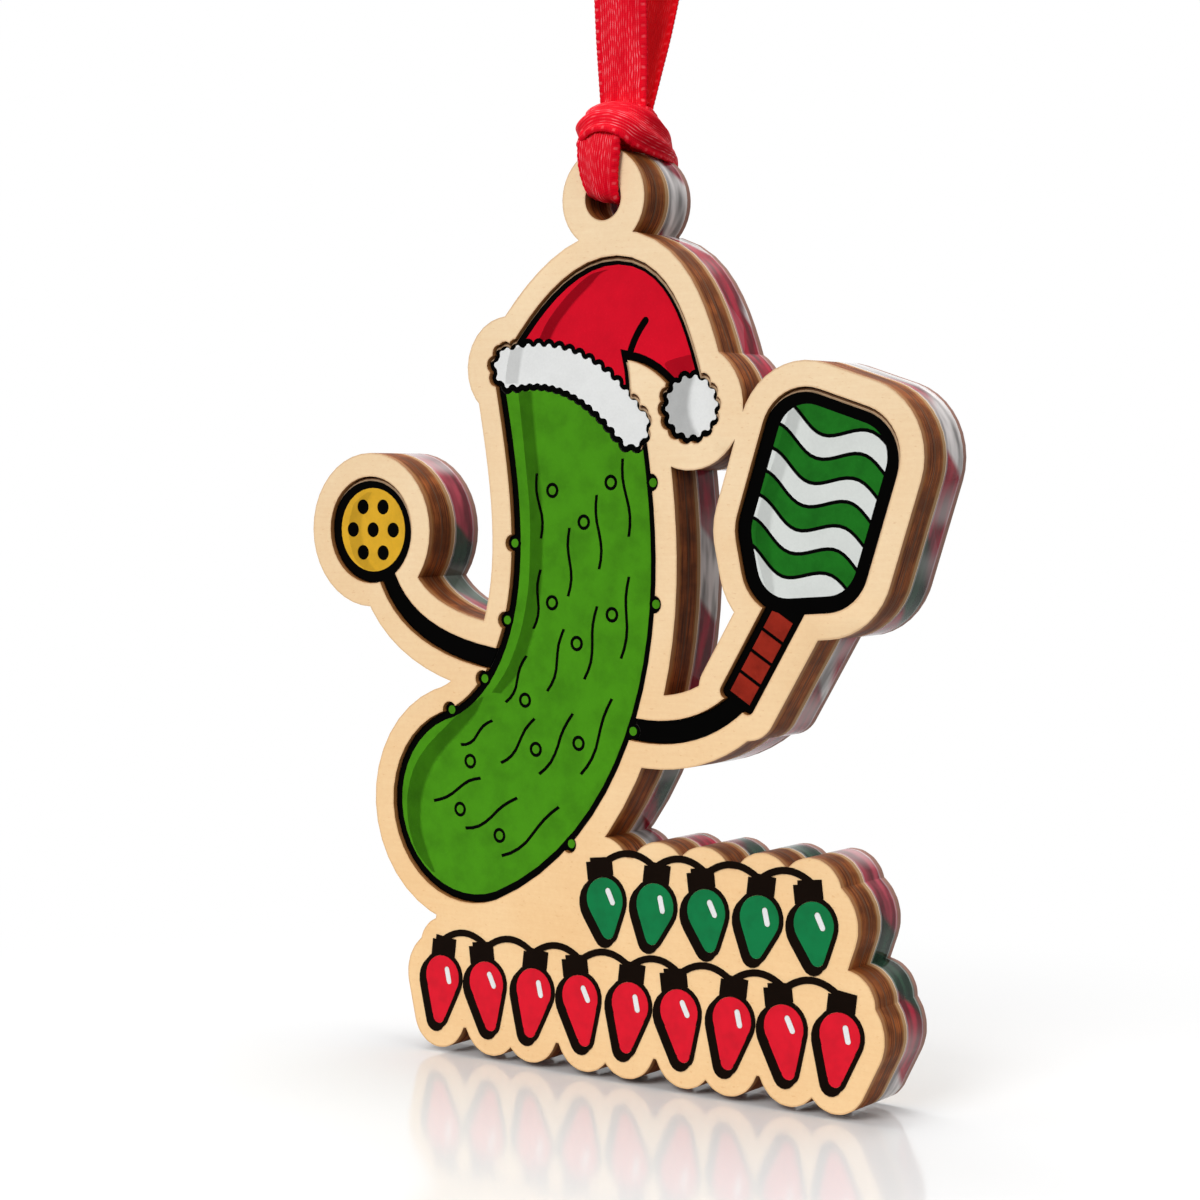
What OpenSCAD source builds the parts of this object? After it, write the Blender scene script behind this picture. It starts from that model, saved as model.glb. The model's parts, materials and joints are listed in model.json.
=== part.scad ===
// Layered hanging ornament: a gherkin in a Santa hat, a ball and a paddle, over two rows of string lights.
// Printed plastic inlays sit in a plywood front, glued to a clear plate with a checked film and a veneer.
// The front faces -Y, +Z is up, and the origin is the inside of the hanging loop at its top. Millimetres.

/* [Sheets] */
// Thickness of the pale veneer on the front
face_veneer_t = 0.5; // [0.3:0.1:0.8]
// Thickness of each of the two core plies
core_ply_t = 1.4; // [1:0.1:2]
// Thickness of the light veneer between the core plies
crossband_t = 0.2; // [0.1:0.05:0.4]
// Thickness of the veneer on the back of the plywood
back_veneer_t = 0.5; // [0.3:0.1:0.8]
// Thickness of the clear adhesive sheet
adhesive_t = 0.1; // [0.05:0.05:0.2]
// Thickness of the clear acrylic plate
acrylic_t = 3; // [2:0.5:5]
// Thickness of the checked film on the back of the acrylic plate
check_film_t = 0.1; // [0.05:0.05:0.2]
// Thickness of the veneer on the rear
rear_veneer_t = 0.6; // [0.4:0.1:1]

/* [Outline] */
// Bare wood around the inlays
border_w = 2.5; // [1.8:0.1:3.5]
// Bare wood around the string lights
lights_border_w = 2; // [1.4:0.1:3]
// Outer radius of the hanging ring
ring_r = 4.8; // [4:0.1:7]
// Radius of the hole in the hanging ring
hole_r = 2.1; // [1.8:0.1:2.6]
// Distance from the hanging ring down to the top of the hat
ring_neck = 0.8; // [0.4:0.1:3]
// Sideways place of the hat under the hanging ring, which sets how straight the ornament hangs
hat_x = -4.2; // [-8:0.1:4]

/* [Inlays and print] */
// How far the inlays lie below the front face
inlay_recess = 0.5; // [0.3:0.1:1]
// Gap between an inlay and the wood around it
inlay_gap = 0.12; // [0.05:0.01:0.2]
// Thickness of the ink
ink_t = 0.1; // [0.05:0.05:0.2]
// Gap between neighbouring inks
ink_gap = 0.02; // [0.01:0.01:0.05]
// Width of the black outline
outline_w = 0.7; // [0.4:0.05:1]
// Width of the thin black lines
thin_line_w = 0.3; // [0.2:0.05:0.5]

/* [Gherkin] */
// Length of the gherkin along its bent axis
gherkin_l = 49.2; // [36:0.2:60]
// Width of the gherkin under the hat
gherkin_top_w = 16.6; // [12:0.1:20]
// Width of the gherkin at its low end
gherkin_low_w = 19.4; // [12:0.1:22]
// Angle of the axis under the hat, from straight down towards the right
gherkin_lean = 11; // [0:1:20]
// Angle that the axis bends to the left by its low end
gherkin_bend = 80; // [40:1:90]
// Radius of the bumps on the skin
bump_r = 0.75; // [0.5:0.05:1.2]

/* [Santa hat] */
// Angle by which the hat leans to the right
hat_tilt = 22; // [10:1:30]
// Width of the fur band
brim_w = 5; // [4:0.1:6]
// Rise of the fur band's arch
brim_arch = 2.3; // [1:0.1:3.5]
// Radius of the pompom
pompom_r = 3.45; // [2.5:0.05:4]
// Radius of the tufts of fur
tuft_r = 0.75; // [0.6:0.05:1]
// Width of the fur's black outline
fur_line_w = 0.45; // [0.3:0.05:0.55]

/* [Ball] */
// Radius of the ball
ball_r = 5.35; // [4:0.05:7]
// Width of the black outline of the ball
ball_outline_w = 1.05; // [0.5:0.05:1.5]
// Radius of the ball's holes
ball_hole_r = 0.75; // [0.5:0.05:1]
// Distance of the outer holes from the middle of the ball
ball_hole_ring_r = 2.7; // [2:0.1:3.2]
// Width of the black stems to the ball and the paddle
stem_w = 2; // [1.4:0.1:3]

/* [Paddle] */
// Width of the paddle's head
head_w = 14.6; // [11:0.1:18]
// Length of the paddle's head
head_l = 20; // [15:0.1:26]
// Radius of the head's corners
head_corner_r = 4.6; // [3:0.1:5]
// Width of the black edge of the head
head_edge_w = 1.4; // [0.8:0.1:2]
// Angle of the head, from upright towards the right
head_tilt = 18; // [5:1:30]
// Width of the grip
grip_w = 3.9; // [3:0.1:5]
// Length of the grip
grip_l = 10; // [7:0.1:14]
// Angle of the grip, from upright towards the right
grip_tilt = 31; // [10:1:40]
// Distance between one white wave and the next
wave_pitch = 4.5; // [3.5:0.1:6]
// Width of a white wave
wave_w = 1.9; // [1:0.1:2.5]
// Height of a wave from its middle
wave_height = 0.9; // [0.3:0.05:1.2]
// Length of a wave
wave_length = 9.5; // [6:0.5:14]

/* [String lights] */
// Number of green lights
green_count = 5; // [3:1:5]
// Number of red lights
red_count = 9; // [6:1:9]
// Distance between one green light and the next
green_pitch = 5.85; // [5.5:0.05:7]
// Distance between one red light and the next
red_pitch = 5.8; // [5.5:0.05:7]
// Height of a green light with its socket
green_h = 8.4; // [7:0.1:10]
// Height of a red light with its socket
red_h = 9.4; // [7:0.1:11]
// Width of a light
light_w = 5.2; // [4:0.1:5.5]
// Width of the outline of a light
light_outline_w = 0.45; // [0.3:0.05:0.7]
// Offset of a light's shadow to the left and down
light_shadow = 0.45; // [0.2:0.05:0.7]

/* [Ribbon] */
// Width of the ribbon
ribbon_w = 6; // [4:0.5:7]
// Thickness of the ribbon
ribbon_t = 0.4; // [0.3:0.05:0.6]
// Width of the ribbon where it is gathered through the ring
strap_w = 3.2; // [2.4:0.1:3.4]
// Thickness of the gathered ribbon
strap_t = 0.8; // [0.5:0.1:1.2]
// Width of the hitch's bar over the ring
bar_w = 8; // [6:0.1:9]
// Height of the hitch's bar above the ring
bar_h = 3.4; // [2.5:0.1:4.5]
// Gap between the hitch and the ring
hitch_gap = 0.2; // [0.1:0.05:0.3]
// Gap between the hitch and the strands of the loop
twist_gap = 0.1; // [0.05:0.05:0.3]

/* [Hidden] */
$fn = 40;

// Middle line of the ribbon loop from its front strand over the top to its rear strand, as [y, z]
loop_route = [
    [-3.5, -29.5], [-3.6, -26.5], [-3.8, -23], [-4, -19.5], [-4.2, -16], [-4.4, -12.5], [-4.6, -9],
    [-4.75, -6], [-4.4, -3], [-3.3, -1.1], [-1.7, 0], [0, 0.3], [1.7, 0], [3.3, -1.1], [4.4, -3],
    [4.7, -5.5], [4.3, -8.5], [3.5, -12], [2.4, -15.5], [1.2, -19], [0, -22.5], [-1.3, -26], [-2.5, -29.5]
];

// Places down from the loop: the hitch, the ring and the middle of the sheets
hitch_top_z = loop_route[0][1] - twist_gap;
ring_z = hitch_top_z - bar_h - hitch_gap - ring_r;
hitch_y = (loop_route[0][0] + loop_route[len(loop_route) - 1][0]) / 2;

// Sheets from the front to the rear, and the faces between them
sheets = [
    face_veneer_t, core_ply_t, crossband_t, core_ply_t, back_veneer_t,
    adhesive_t, acrylic_t, check_film_t, rear_veneer_t
];
plywood_t = face_veneer_t + 2 * core_ply_t + crossband_t + back_veneer_t;
stack_t = plywood_t + adhesive_t + acrylic_t + check_film_t + rear_veneer_t;
front_y = hitch_y - stack_t / 2;
function sheet_y(i) = i == 0 ? front_y : sheet_y(i - 1) + sheets[i - 1];

// Plane geometry, with directions as angles from +X
function heading(a) = [cos(a), sin(a)];
function left_of(v) = [-v[1], v[0]];
function mix(a, b, t) = a + (b - a) * t;
function turned(v, a) = [v[0] * cos(a) - v[1] * sin(a), v[0] * sin(a) + v[1] * cos(a)];
function curve(p, t) = mix(mix(p[0], p[1], t), mix(p[1], p[2], t), t);
function curve_heading(p, t) = let (d = mix(p[1] - p[0], p[2] - p[1], t)) d / norm(d);

// The hat's own axes have their origin in the middle of the fur band and X along it
brim_inset = 0.4;
brim_half = gherkin_top_w / 2 - brim_inset;
brim_peak_x = -0.9;
brim_line = [[-brim_half, 0], [brim_peak_x, 2 * brim_arch], [brim_half, 0]];
cone_line = [[-0.4, 1.4], [0.6, 17.4], [13.1, 5.6]];
cone_steps = 20;
cone_tip_half = 1.5;
cone_taper = 0.9;
notch_at = [5.1, 5.8];
tail_line = [[12.1, 4.5], [8.6, 6.6], notch_at];
front_line = [notch_at, [6.3, 4.2], [7.2, 1.6]];
fold_line = [[5.6, 9.8], [4.9, 8], notch_at];
pompom_at = [13.5, 4.2];
function cone_half(t) = mix(brim_half, cone_tip_half, pow(t, cone_taper));
function cone_edge(t) = curve(cone_line, t) + cone_half(t) * left_of(curve_heading(cone_line, t));
hat_rise = max([for (i = [0:cone_steps]) turned(cone_edge(i / cone_steps), -hat_tilt)[1]]);
hat_at = [hat_x, -ring_r - ring_neck - hat_rise];

// The gherkin's axis starts under the fur band and bends more and more towards its low end
gherkin_offset = [-0.6, 3];
gherkin_start = hat_at + gherkin_offset;
gherkin_steps = 24;
function axis_angle(t) = gherkin_lean - 90 - gherkin_bend * t * t;
axis_step = gherkin_l / gherkin_steps;
axis_points = [
    for (i = 0, p = gherkin_start; i <= gherkin_steps;
         i = i + 1, p = p + axis_step * heading(axis_angle((i - 0.5) / gherkin_steps))) p
];
axis_x = [for (i = [0:gherkin_steps]) [i / gherkin_steps, axis_points[i][0]]];
axis_z = [for (i = [0:gherkin_steps]) [i / gherkin_steps, axis_points[i][1]]];
gherkin_low = axis_points[gherkin_steps];
gherkin_low_r = gherkin_low_w / 2;
// Past t = 1 the axis runs straight on through the round low end
function past_low(t) = max(0, t - 1) * gherkin_l;
function axis_at(t) = [lookup(t, axis_x), lookup(t, axis_z)] + past_low(t) * heading(axis_angle(1));
function axis_turn(t) = axis_angle(min(t, 1));
function gherkin_half(t) =
    t < 1 ? mix(gherkin_top_w, gherkin_low_w, t * t) / 2
    : sqrt(max(0, pow(gherkin_low_r, 2) - pow(past_low(t), 2)));
// A point on the skin: t runs along the axis, and side from -1 at the right edge to 1 at the left edge
function skin(t, side) = axis_at(t) - side * gherkin_half(t) * left_of(heading(axis_turn(t)));

// The ball and the paddle stand on stems, which leave the skin at these shares of the gherkin's length
ball_stem_share = 0.66;
paddle_stem_share = 0.645;
ball_offset = [-16.1, 12.2];
ball_stem_angle = -64;
ball_stem_bend = [4.5, -11.6];
ball_root_inset = [2, -0.6];
ball_root = skin(ball_stem_share, 1);
ball_at = ball_root + ball_offset;
ball_stem = [
    ball_at + (ball_r - ball_outline_w) * heading(ball_stem_angle),
    ball_at + ball_stem_bend,
    ball_root + ball_root_inset
];
grip_offset = [11.6, 2.9];
grip_inset = [0.6, 0.5];
paddle_stem_bend = [-5, -4.6];
paddle_root_inset = [-2.5, 0.4];
paddle_root = skin(paddle_stem_share, -1);
grip_end = paddle_root + grip_offset;
paddle_stem = [grip_end + grip_inset, grip_end + paddle_stem_bend, paddle_root + paddle_root_inset];
grip_corner_r = 0.6;
grip_seat = 1;
neck_l = 0.4;
neck_at = grip_end + grip_l * heading(90 - grip_tilt);
head_at = neck_at + (head_l / 2 + neck_l) * heading(90 - head_tilt);

// The head's shoulders rise to both sides of its foot, which lies a little below the straight end
left_shoulder = 2;
right_shoulder = 1;
foot_x = -1.2;
foot_drop = 0.6;
wave_phase = -40;
wave_shift = 0.6;

// The two rows of lights stand under the gherkin's low end
red_row_inset = 3.4;
red_row_gap = 3.8;
green_row_shift = 16.9;
row_gap = 1.4;
red_first = gherkin_low - [red_row_inset, gherkin_low_r + red_row_gap + red_h / 2];
green_first = [gherkin_low[0] + green_row_shift, red_first[1] + (red_h + green_h) / 2 + row_gap];
function red_light_at(i) = red_first + [i * red_pitch, 0];
function green_light_at(i) = green_first + [i * green_pitch, 0];
light_swing = 7;
socket_l = 1.8;
socket_w = 2.6;
light_tip_r = 1.2;
glass_seat = 0.3;
wire_w = 0.7;
wire_rise = 1.1;
wire_drop = 0.5;

// A plane shape as a slab whose front is at y and whose rear is at y + t
module slab(y, t) {
    translate([0, y + t, ring_z])
        rotate([90, 0, 0])
            linear_extrude(t)
                children();
}

module sheet(i) {
    slab(sheet_y(i), sheets[i])
        children();
}

// Ink on the inlays, with a hair's gap to the inks beside it
module inlay_ink() {
    slab(front_y + inlay_recess - ink_t, ink_t)
        offset(delta = -ink_gap)
            children();
}

// Ink on the face veneer
module wood_ink() {
    slab(front_y - ink_t, ink_t)
        offset(delta = -ink_gap)
            children();
}

module inlay() {
    slab(front_y + inlay_recess, plywood_t - inlay_recess)
        offset(delta = 0)
            children();
}

// A round-ended band of even width along a curve
module stroke(p, w, steps = 12, cap_steps = 8) {
    function side(t) = w / 2 * left_of(curve_heading(p, t));
    polygon(concat(
        [for (i = [0:steps]) curve(p, i / steps) + side(i / steps)],
        [for (i = [1:cap_steps - 1]) curve(p, 1) + turned(side(1), -180 * i / cap_steps)],
        [for (i = [steps:-1:0]) curve(p, i / steps) - side(i / steps)],
        [for (i = [1:cap_steps - 1]) curve(p, 0) - turned(side(0), -180 * i / cap_steps)]
    ));
}

module on_hat() {
    translate(hat_at)
        rotate(-hat_tilt)
            children();
}

// Red cone of the hat: over its crown to the tip, back under its tail to the notch, and down to the band
module cone_shape() {
    under_steps = 8;
    on_hat()
        polygon(concat(
            [for (i = [0:cone_steps]) cone_edge(i / cone_steps)],
            [for (i = [0:under_steps]) curve(tail_line, i / under_steps)],
            [for (i = [1:under_steps]) curve(front_line, i / under_steps)]
        ));
}

// Tufts of fur along the edges and round the ends of the band
module brim_tufts() {
    tufts = 14;
    end_tufts = 4;
    end_turn = 44;
    reach = brim_w / 2 - tuft_r;
    for (i = [0:tufts], side = [-1, 1]) {
        t = (i + (side > 0 ? 0 : 0.5)) / tufts;
        if (t <= 1)
            translate(curve(brim_line, t) + side * reach * left_of(curve_heading(brim_line, t)))
                circle(tuft_r, $fn = 14);
    }
    for (i = [0:end_tufts - 1], end = [0, 1]) {
        outward = (end * 2 - 1) * curve_heading(brim_line, end);
        translate(curve(brim_line, end) + reach * turned(outward, end_turn * (i - (end_tufts - 1) / 2)))
            circle(tuft_r, $fn = 14);
    }
}

module brim_shape() {
    on_hat() {
        stroke(brim_line, brim_w - tuft_r, 10);
        brim_tufts();
    }
}

module pompom_shape() {
    tufts = 14;
    on_hat()
        translate(pompom_at) {
            circle(pompom_r - tuft_r / 2);
            for (i = [0:tufts - 1])
                translate((pompom_r - tuft_r) * heading(i * 360 / tufts))
                    circle(tuft_r, $fn = 14);
        }
}

// Hat without its tufts, for the wood around it
module hat_reach() {
    cone_shape();
    on_hat() {
        stroke(brim_line, brim_w, 14, 14);
        translate(pompom_at)
            circle(pompom_r);
    }
}

// Crease where the cone folds over
module fold_shape() {
    on_hat()
        stroke(fold_line, outline_w);
}

module hat_shape() {
    cone_shape();
    brim_shape();
    pompom_shape();
}

// White of the fur, inside its black outline
module fur_inner_shape() {
    offset(r = -fur_line_w, $fn = 12)
        children();
}

// Gherkin with its round low end, up to the middle of the fur band
module gherkin_body() {
    end_steps = 20;
    end_start = axis_angle(1) - 90;
    difference() {
        polygon(concat(
            [for (i = [0:gherkin_steps]) skin(i / gherkin_steps, 1)],
            [for (i = [1:end_steps - 1])
                gherkin_low + gherkin_low_r * heading(end_start + 180 * i / end_steps)],
            [for (i = [gherkin_steps:-1:0]) skin(i / gherkin_steps, -1)]
        ));
        on_hat()
            translate([-gherkin_top_w, brim_arch / 2])
                square([2 * gherkin_top_w, gherkin_top_w]);
    }
}

// Bumps on both edges of the skin, staggered from side to side
module edge_bumps(r) {
    bumps = 4;
    first = 0.3;
    spacing = 0.2;
    stagger = 0.05;
    for (i = [0:bumps - 1], side = [-1, 1])
        translate(skin(first + spacing * i + stagger * side, side))
            circle(r, $fn = 16);
}

module gherkin_shape() {
    gherkin_body();
    edge_bumps(bump_r);
}

module ball_shape() {
    translate(ball_at)
        circle(ball_r);
}

module ball_hole_shapes() {
    translate(ball_at) {
        circle(ball_hole_r, $fn = 24);
        for (i = [0:5])
            translate(ball_hole_ring_r * heading(60 * i))
                circle(ball_hole_r, $fn = 24);
    }
}

module on_head() {
    translate(head_at)
        rotate(-head_tilt)
            children();
}

// Head of the paddle, drawn in at its shoulders towards the neck
module head_shape() {
    x = head_w / 2 - head_corner_r;
    z = head_l / 2 - head_corner_r;
    on_head()
        offset(r = head_corner_r)
            polygon([
                [-x, z], [x, z], [x, right_shoulder - z],
                [foot_x, -z - foot_drop], [-x, left_shoulder - z]
            ]);
}

module on_grip() {
    translate(grip_end)
        rotate(-grip_tilt)
            children();
}

module grip_shape() {
    on_grip()
        offset(r = grip_corner_r)
            translate([grip_corner_r - grip_w / 2, grip_corner_r])
                square([grip_w - 2 * grip_corner_r, grip_l + grip_seat]);
}

// Wrapped bands of the grip, between its black lines
module grip_band_shapes() {
    bands = 4;
    pitch = (grip_l - outline_w) / bands;
    on_grip()
        for (i = [0:bands - 1])
            translate([outline_w - grip_w / 2, outline_w + i * pitch])
                square([grip_w - 2 * outline_w, pitch - thin_line_w]);
}

// White waves across the head, of which the lowest fills its foot
module wave_shapes() {
    steps = 24;
    highest = floor(head_l / 2 / wave_pitch);
    function wave_point(i) = let (x = (i / steps - 0.5) * head_w)
        [x, wave_height * sin(360 * x / wave_length + wave_phase)];
    on_head()
        for (k = [-highest:highest - 1])
            translate([0, wave_shift + k * wave_pitch])
                polygon(concat(
                    [for (i = [0:steps]) wave_point(i) - [0, k == -highest ? head_l : 0]],
                    [for (i = [steps:-1:0]) wave_point(i) + [0, wave_w]]
                ));
}

// The ball and the paddle with their whole stems
module ball_reach() {
    ball_shape();
    stroke(ball_stem, stem_w);
}

module paddle_reach() {
    head_shape();
    grip_shape();
    stroke(paddle_stem, stem_w);
}

module ball_motif() {
    difference() {
        ball_reach();
        offset(delta = inlay_gap)
            gherkin_shape();
    }
}

module paddle_motif() {
    difference() {
        paddle_reach();
        offset(delta = inlay_gap)
            gherkin_shape();
    }
}

module gherkin_motif() {
    difference() {
        gherkin_shape();
        offset(delta = inlay_gap)
            hat_shape();
    }
}

// Short wavy lines along the skin, staggered from lane to lane
module skin_lines() {
    lanes = 4;
    lines = 4;
    steps = 8;
    outer_lane = 0.62;
    first = 0.2;
    spacing = 0.21;
    stagger = 0.06;
    line_share = 0.14;
    sway = 0.03;
    half = thin_line_w / 2;
    function line_point(start, side, i, shift) = let (t = start + line_share * i / steps)
        skin(t, side + sway * sin(360 * i / steps) + shift / gherkin_half(t));
    for (lane = [0:lanes - 1], k = [0:lines - 1]) {
        side = outer_lane * (2 * lane / (lanes - 1) - 1);
        start = first + spacing * k + stagger * (lane % 3);
        polygon(concat(
            [for (i = [0:steps]) line_point(start, side, i, half)],
            [for (i = [steps:-1:0]) line_point(start, side, i, -half)]
        ));
    }
}

// Round bumps between the lines
module skin_bumps(r) {
    bumps = 4;
    first = 0.24;
    spacing = 0.24;
    stagger = 0.07;
    lane_w = 0.42;
    for (lane = [-1:1], k = [0:bumps - 1])
        translate(skin(first + spacing * k + stagger * (1 - abs(lane)), lane_w * lane))
            circle(r, $fn = 16);
}

module gherkin_mark_shapes() {
    skin_lines();
    difference() {
        union() {
            skin_bumps(bump_r);
            edge_bumps(bump_r);
        }
        skin_bumps(bump_r - thin_line_w);
        edge_bumps(bump_r - thin_line_w);
    }
}

// Glass of one light, with the middle of the light's height at the origin
module light_glass(h) {
    bulge = h / 2 - socket_l - light_w / 2 + glass_seat;
    tip = light_tip_r - h / 2;
    lean = asin((light_w / 2 - light_tip_r) / (bulge - tip));
    translate([0, bulge])
        circle(light_w / 2, $fn = 24);
    translate([0, tip])
        circle(light_tip_r, $fn = 16);
    polygon([
        light_w / 2 * heading(180 + lean) + [0, bulge],
        light_tip_r * heading(180 + lean) + [0, tip],
        light_tip_r * heading(-lean) + [0, tip],
        light_w / 2 * heading(-lean) + [0, bulge]
    ]);
}

module light_socket(h) {
    translate([-socket_w / 2, h / 2 - socket_l])
        square([socket_w, socket_l]);
}

module light_glint(h) {
    glint_x = 0.9;
    glint_w = 0.6;
    glint_tilt = 20;
    translate([glint_x, h / 2 - socket_l - light_w / 2])
        rotate(glint_tilt)
            stroke([[0, 0], [0, glint_w], [0, 2 * glint_w]], glint_w, 2, 6);
}

module green_row() {
    for (i = [0:green_count - 1])
        translate(green_light_at(i))
            rotate(i % 2 == 0 ? light_swing : -light_swing)
                children();
}

module red_row() {
    for (i = [0:red_count - 1])
        translate(red_light_at(i))
            rotate(i % 2 == 0 ? -light_swing : light_swing)
                children();
}

module green_light_shapes() {
    offset(delta = -light_outline_w)
        green_row()
            light_glass(green_h);
}

module red_light_shapes() {
    offset(delta = -light_outline_w)
        red_row()
            light_glass(red_h);
}

module glint_shapes() {
    green_row()
        light_glint(green_h);
    red_row()
        light_glint(red_h);
}

// Wire that arches from socket to socket
module wire(a, b) {
    stroke([a, (a + b) / 2 + [0, 2 * wire_rise], b], wire_w, 10, 4);
}

module wire_shapes() {
    green_top = [0, green_h / 2 - wire_drop];
    red_top = [0, red_h / 2 - wire_drop];
    for (i = [0:green_count - 2])
        wire(green_light_at(i) + green_top, green_light_at(i + 1) + green_top);
    for (i = [0:red_count - 2])
        wire(red_light_at(i) + red_top, red_light_at(i + 1) + red_top);
}

module light_outline_shapes() {
    green_row() {
        light_glass(green_h);
        light_socket(green_h);
    }
    red_row() {
        light_glass(red_h);
        light_socket(red_h);
    }
}

// Solid wood behind the rows, up to the gherkin's low end
module lights_backing() {
    foot = [0, 2 * light_tip_r - red_h / 2];
    head = [0, green_h / 2 - socket_l];
    polygon([
        red_light_at(0) + foot,
        red_light_at(0),
        gherkin_low,
        green_light_at(0) + head,
        green_light_at(green_count - 1) + head,
        green_light_at(green_count - 1),
        red_light_at(red_count - 1),
        red_light_at(red_count - 1) + foot
    ]);
}

// Lights without their sockets' corners, for the wood around them
module lights_reach() {
    green_row() {
        light_glass(green_h);
        translate([0, green_h / 2 - socket_w / 2])
            circle(socket_w / 2, $fn = 16);
    }
    red_row() {
        light_glass(red_h);
        translate([0, red_h / 2 - socket_w / 2])
            circle(socket_w / 2, $fn = 16);
    }
    lights_backing();
}

// Outline that all the sheets share, with a true round ring and hole
module sheet_outline() {
    difference() {
        union() {
            offset(delta = border_w) {
                hat_reach();
                gherkin_body();
                ball_reach();
                paddle_reach();
            }
            offset(r = lights_border_w, $fn = 32)
                lights_reach();
            circle(ring_r);
        }
        circle(hole_r);
    }
}

// Sheet outline with the openings for the inlays
module plywood_outline() {
    difference() {
        sheet_outline();
        offset(delta = inlay_gap) {
            hat_shape();
            gherkin_shape();
            ball_motif();
            paddle_motif();
        }
    }
}

// Sheets from the front to the rear
module face_veneer() {
    color("burlywood")
        sheet(0)
            plywood_outline();
}

module front_core_ply() {
    color("saddlebrown")
        sheet(1)
            plywood_outline();
}

module crossband_veneer() {
    color("tan")
        sheet(2)
            plywood_outline();
}

module rear_core_ply() {
    color("saddlebrown")
        sheet(3)
            plywood_outline();
}

module back_veneer() {
    color("burlywood")
        sheet(4)
            plywood_outline();
}

module adhesive_sheet() {
    color("whitesmoke", 0.5)
        sheet(5)
            sheet_outline();
}

module acrylic_plate() {
    color("aliceblue", 0.4)
        sheet(6)
            sheet_outline();
}

module check_film() {
    color("firebrick")
        sheet(7)
            sheet_outline();
}

module rear_veneer() {
    color("burlywood")
        sheet(8)
            sheet_outline();
}

// Inlays
module hat_inlay() {
    color("white")
        inlay()
            hat_shape();
}

module gherkin_inlay() {
    color("white")
        inlay()
            gherkin_motif();
}

module ball_inlay() {
    color("white")
        inlay()
            ball_motif();
}

module paddle_inlay() {
    color("white")
        inlay()
            paddle_motif();
}

// Ink on the hat
module hat_red_shape() {
    difference() {
        offset(delta = -outline_w)
            cone_shape();
        brim_shape();
        pompom_shape();
        fold_shape();
    }
}

module hat_red_ink() {
    color("crimson")
        inlay_ink()
            hat_red_shape();
}

module hat_brim_ink() {
    color("white")
        inlay_ink()
            fur_inner_shape()
                brim_shape();
}

module hat_pompom_ink() {
    color("white")
        inlay_ink()
            fur_inner_shape()
                pompom_shape();
}

module hat_black_ink() {
    color("black")
        inlay_ink()
            difference() {
                hat_shape();
                hat_red_shape();
                fur_inner_shape()
                    brim_shape();
                fur_inner_shape()
                    pompom_shape();
            }
}

// Ink on the gherkin
module gherkin_inner_shape() {
    difference() {
        union() {
            offset(delta = -outline_w)
                gherkin_body();
            edge_bumps(bump_r - thin_line_w);
        }
        offset(delta = inlay_gap)
            hat_shape();
    }
}

module gherkin_green_ink() {
    color("forestgreen")
        inlay_ink()
            difference() {
                gherkin_inner_shape();
                gherkin_mark_shapes();
            }
}

module gherkin_black_ink() {
    color("black")
        inlay_ink()
            difference() {
                gherkin_motif();
                gherkin_inner_shape();
            }
}

module gherkin_marks_ink() {
    color("black")
        inlay_ink()
            intersection() {
                gherkin_inner_shape();
                gherkin_mark_shapes();
            }
}

// Ink on the ball
module ball_yellow_shape() {
    difference() {
        offset(delta = -ball_outline_w)
            ball_shape();
        ball_hole_shapes();
    }
}

module ball_yellow_ink() {
    color("goldenrod")
        inlay_ink()
            ball_yellow_shape();
}

module ball_black_ink() {
    color("black")
        inlay_ink()
            difference() {
                ball_motif();
                ball_yellow_shape();
            }
}

// Ink on the paddle
module paddle_green_shape() {
    difference() {
        offset(delta = -head_edge_w)
            head_shape();
        offset(delta = thin_line_w)
            wave_shapes();
    }
}

module paddle_white_shape() {
    intersection() {
        offset(delta = -head_edge_w)
            head_shape();
        wave_shapes();
    }
}

module paddle_grip_shape() {
    difference() {
        grip_band_shapes();
        head_shape();
    }
}

module paddle_green_ink() {
    color("darkgreen")
        inlay_ink()
            paddle_green_shape();
}

module paddle_white_ink() {
    color("white")
        inlay_ink()
            paddle_white_shape();
}

module paddle_grip_ink() {
    color("brown")
        inlay_ink()
            paddle_grip_shape();
}

module paddle_black_ink() {
    color("black")
        inlay_ink()
            difference() {
                paddle_motif();
                paddle_green_shape();
                paddle_white_shape();
                paddle_grip_shape();
            }
}

// Ink on the wood
module green_lights_ink() {
    color("green")
        wood_ink()
            difference() {
                green_light_shapes();
                glint_shapes();
            }
}

module red_lights_ink() {
    color("red")
        wood_ink()
            difference() {
                red_light_shapes();
                glint_shapes();
            }
}

module lights_glint_ink() {
    color("white")
        wood_ink()
            glint_shapes();
}

module lights_black_ink() {
    color("black")
        wood_ink()
            difference() {
                union() {
                    light_outline_shapes();
                    translate([-light_shadow, -light_shadow])
                        light_outline_shapes();
                    wire_shapes();
                }
                green_light_shapes();
                red_light_shapes();
            }
}

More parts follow.
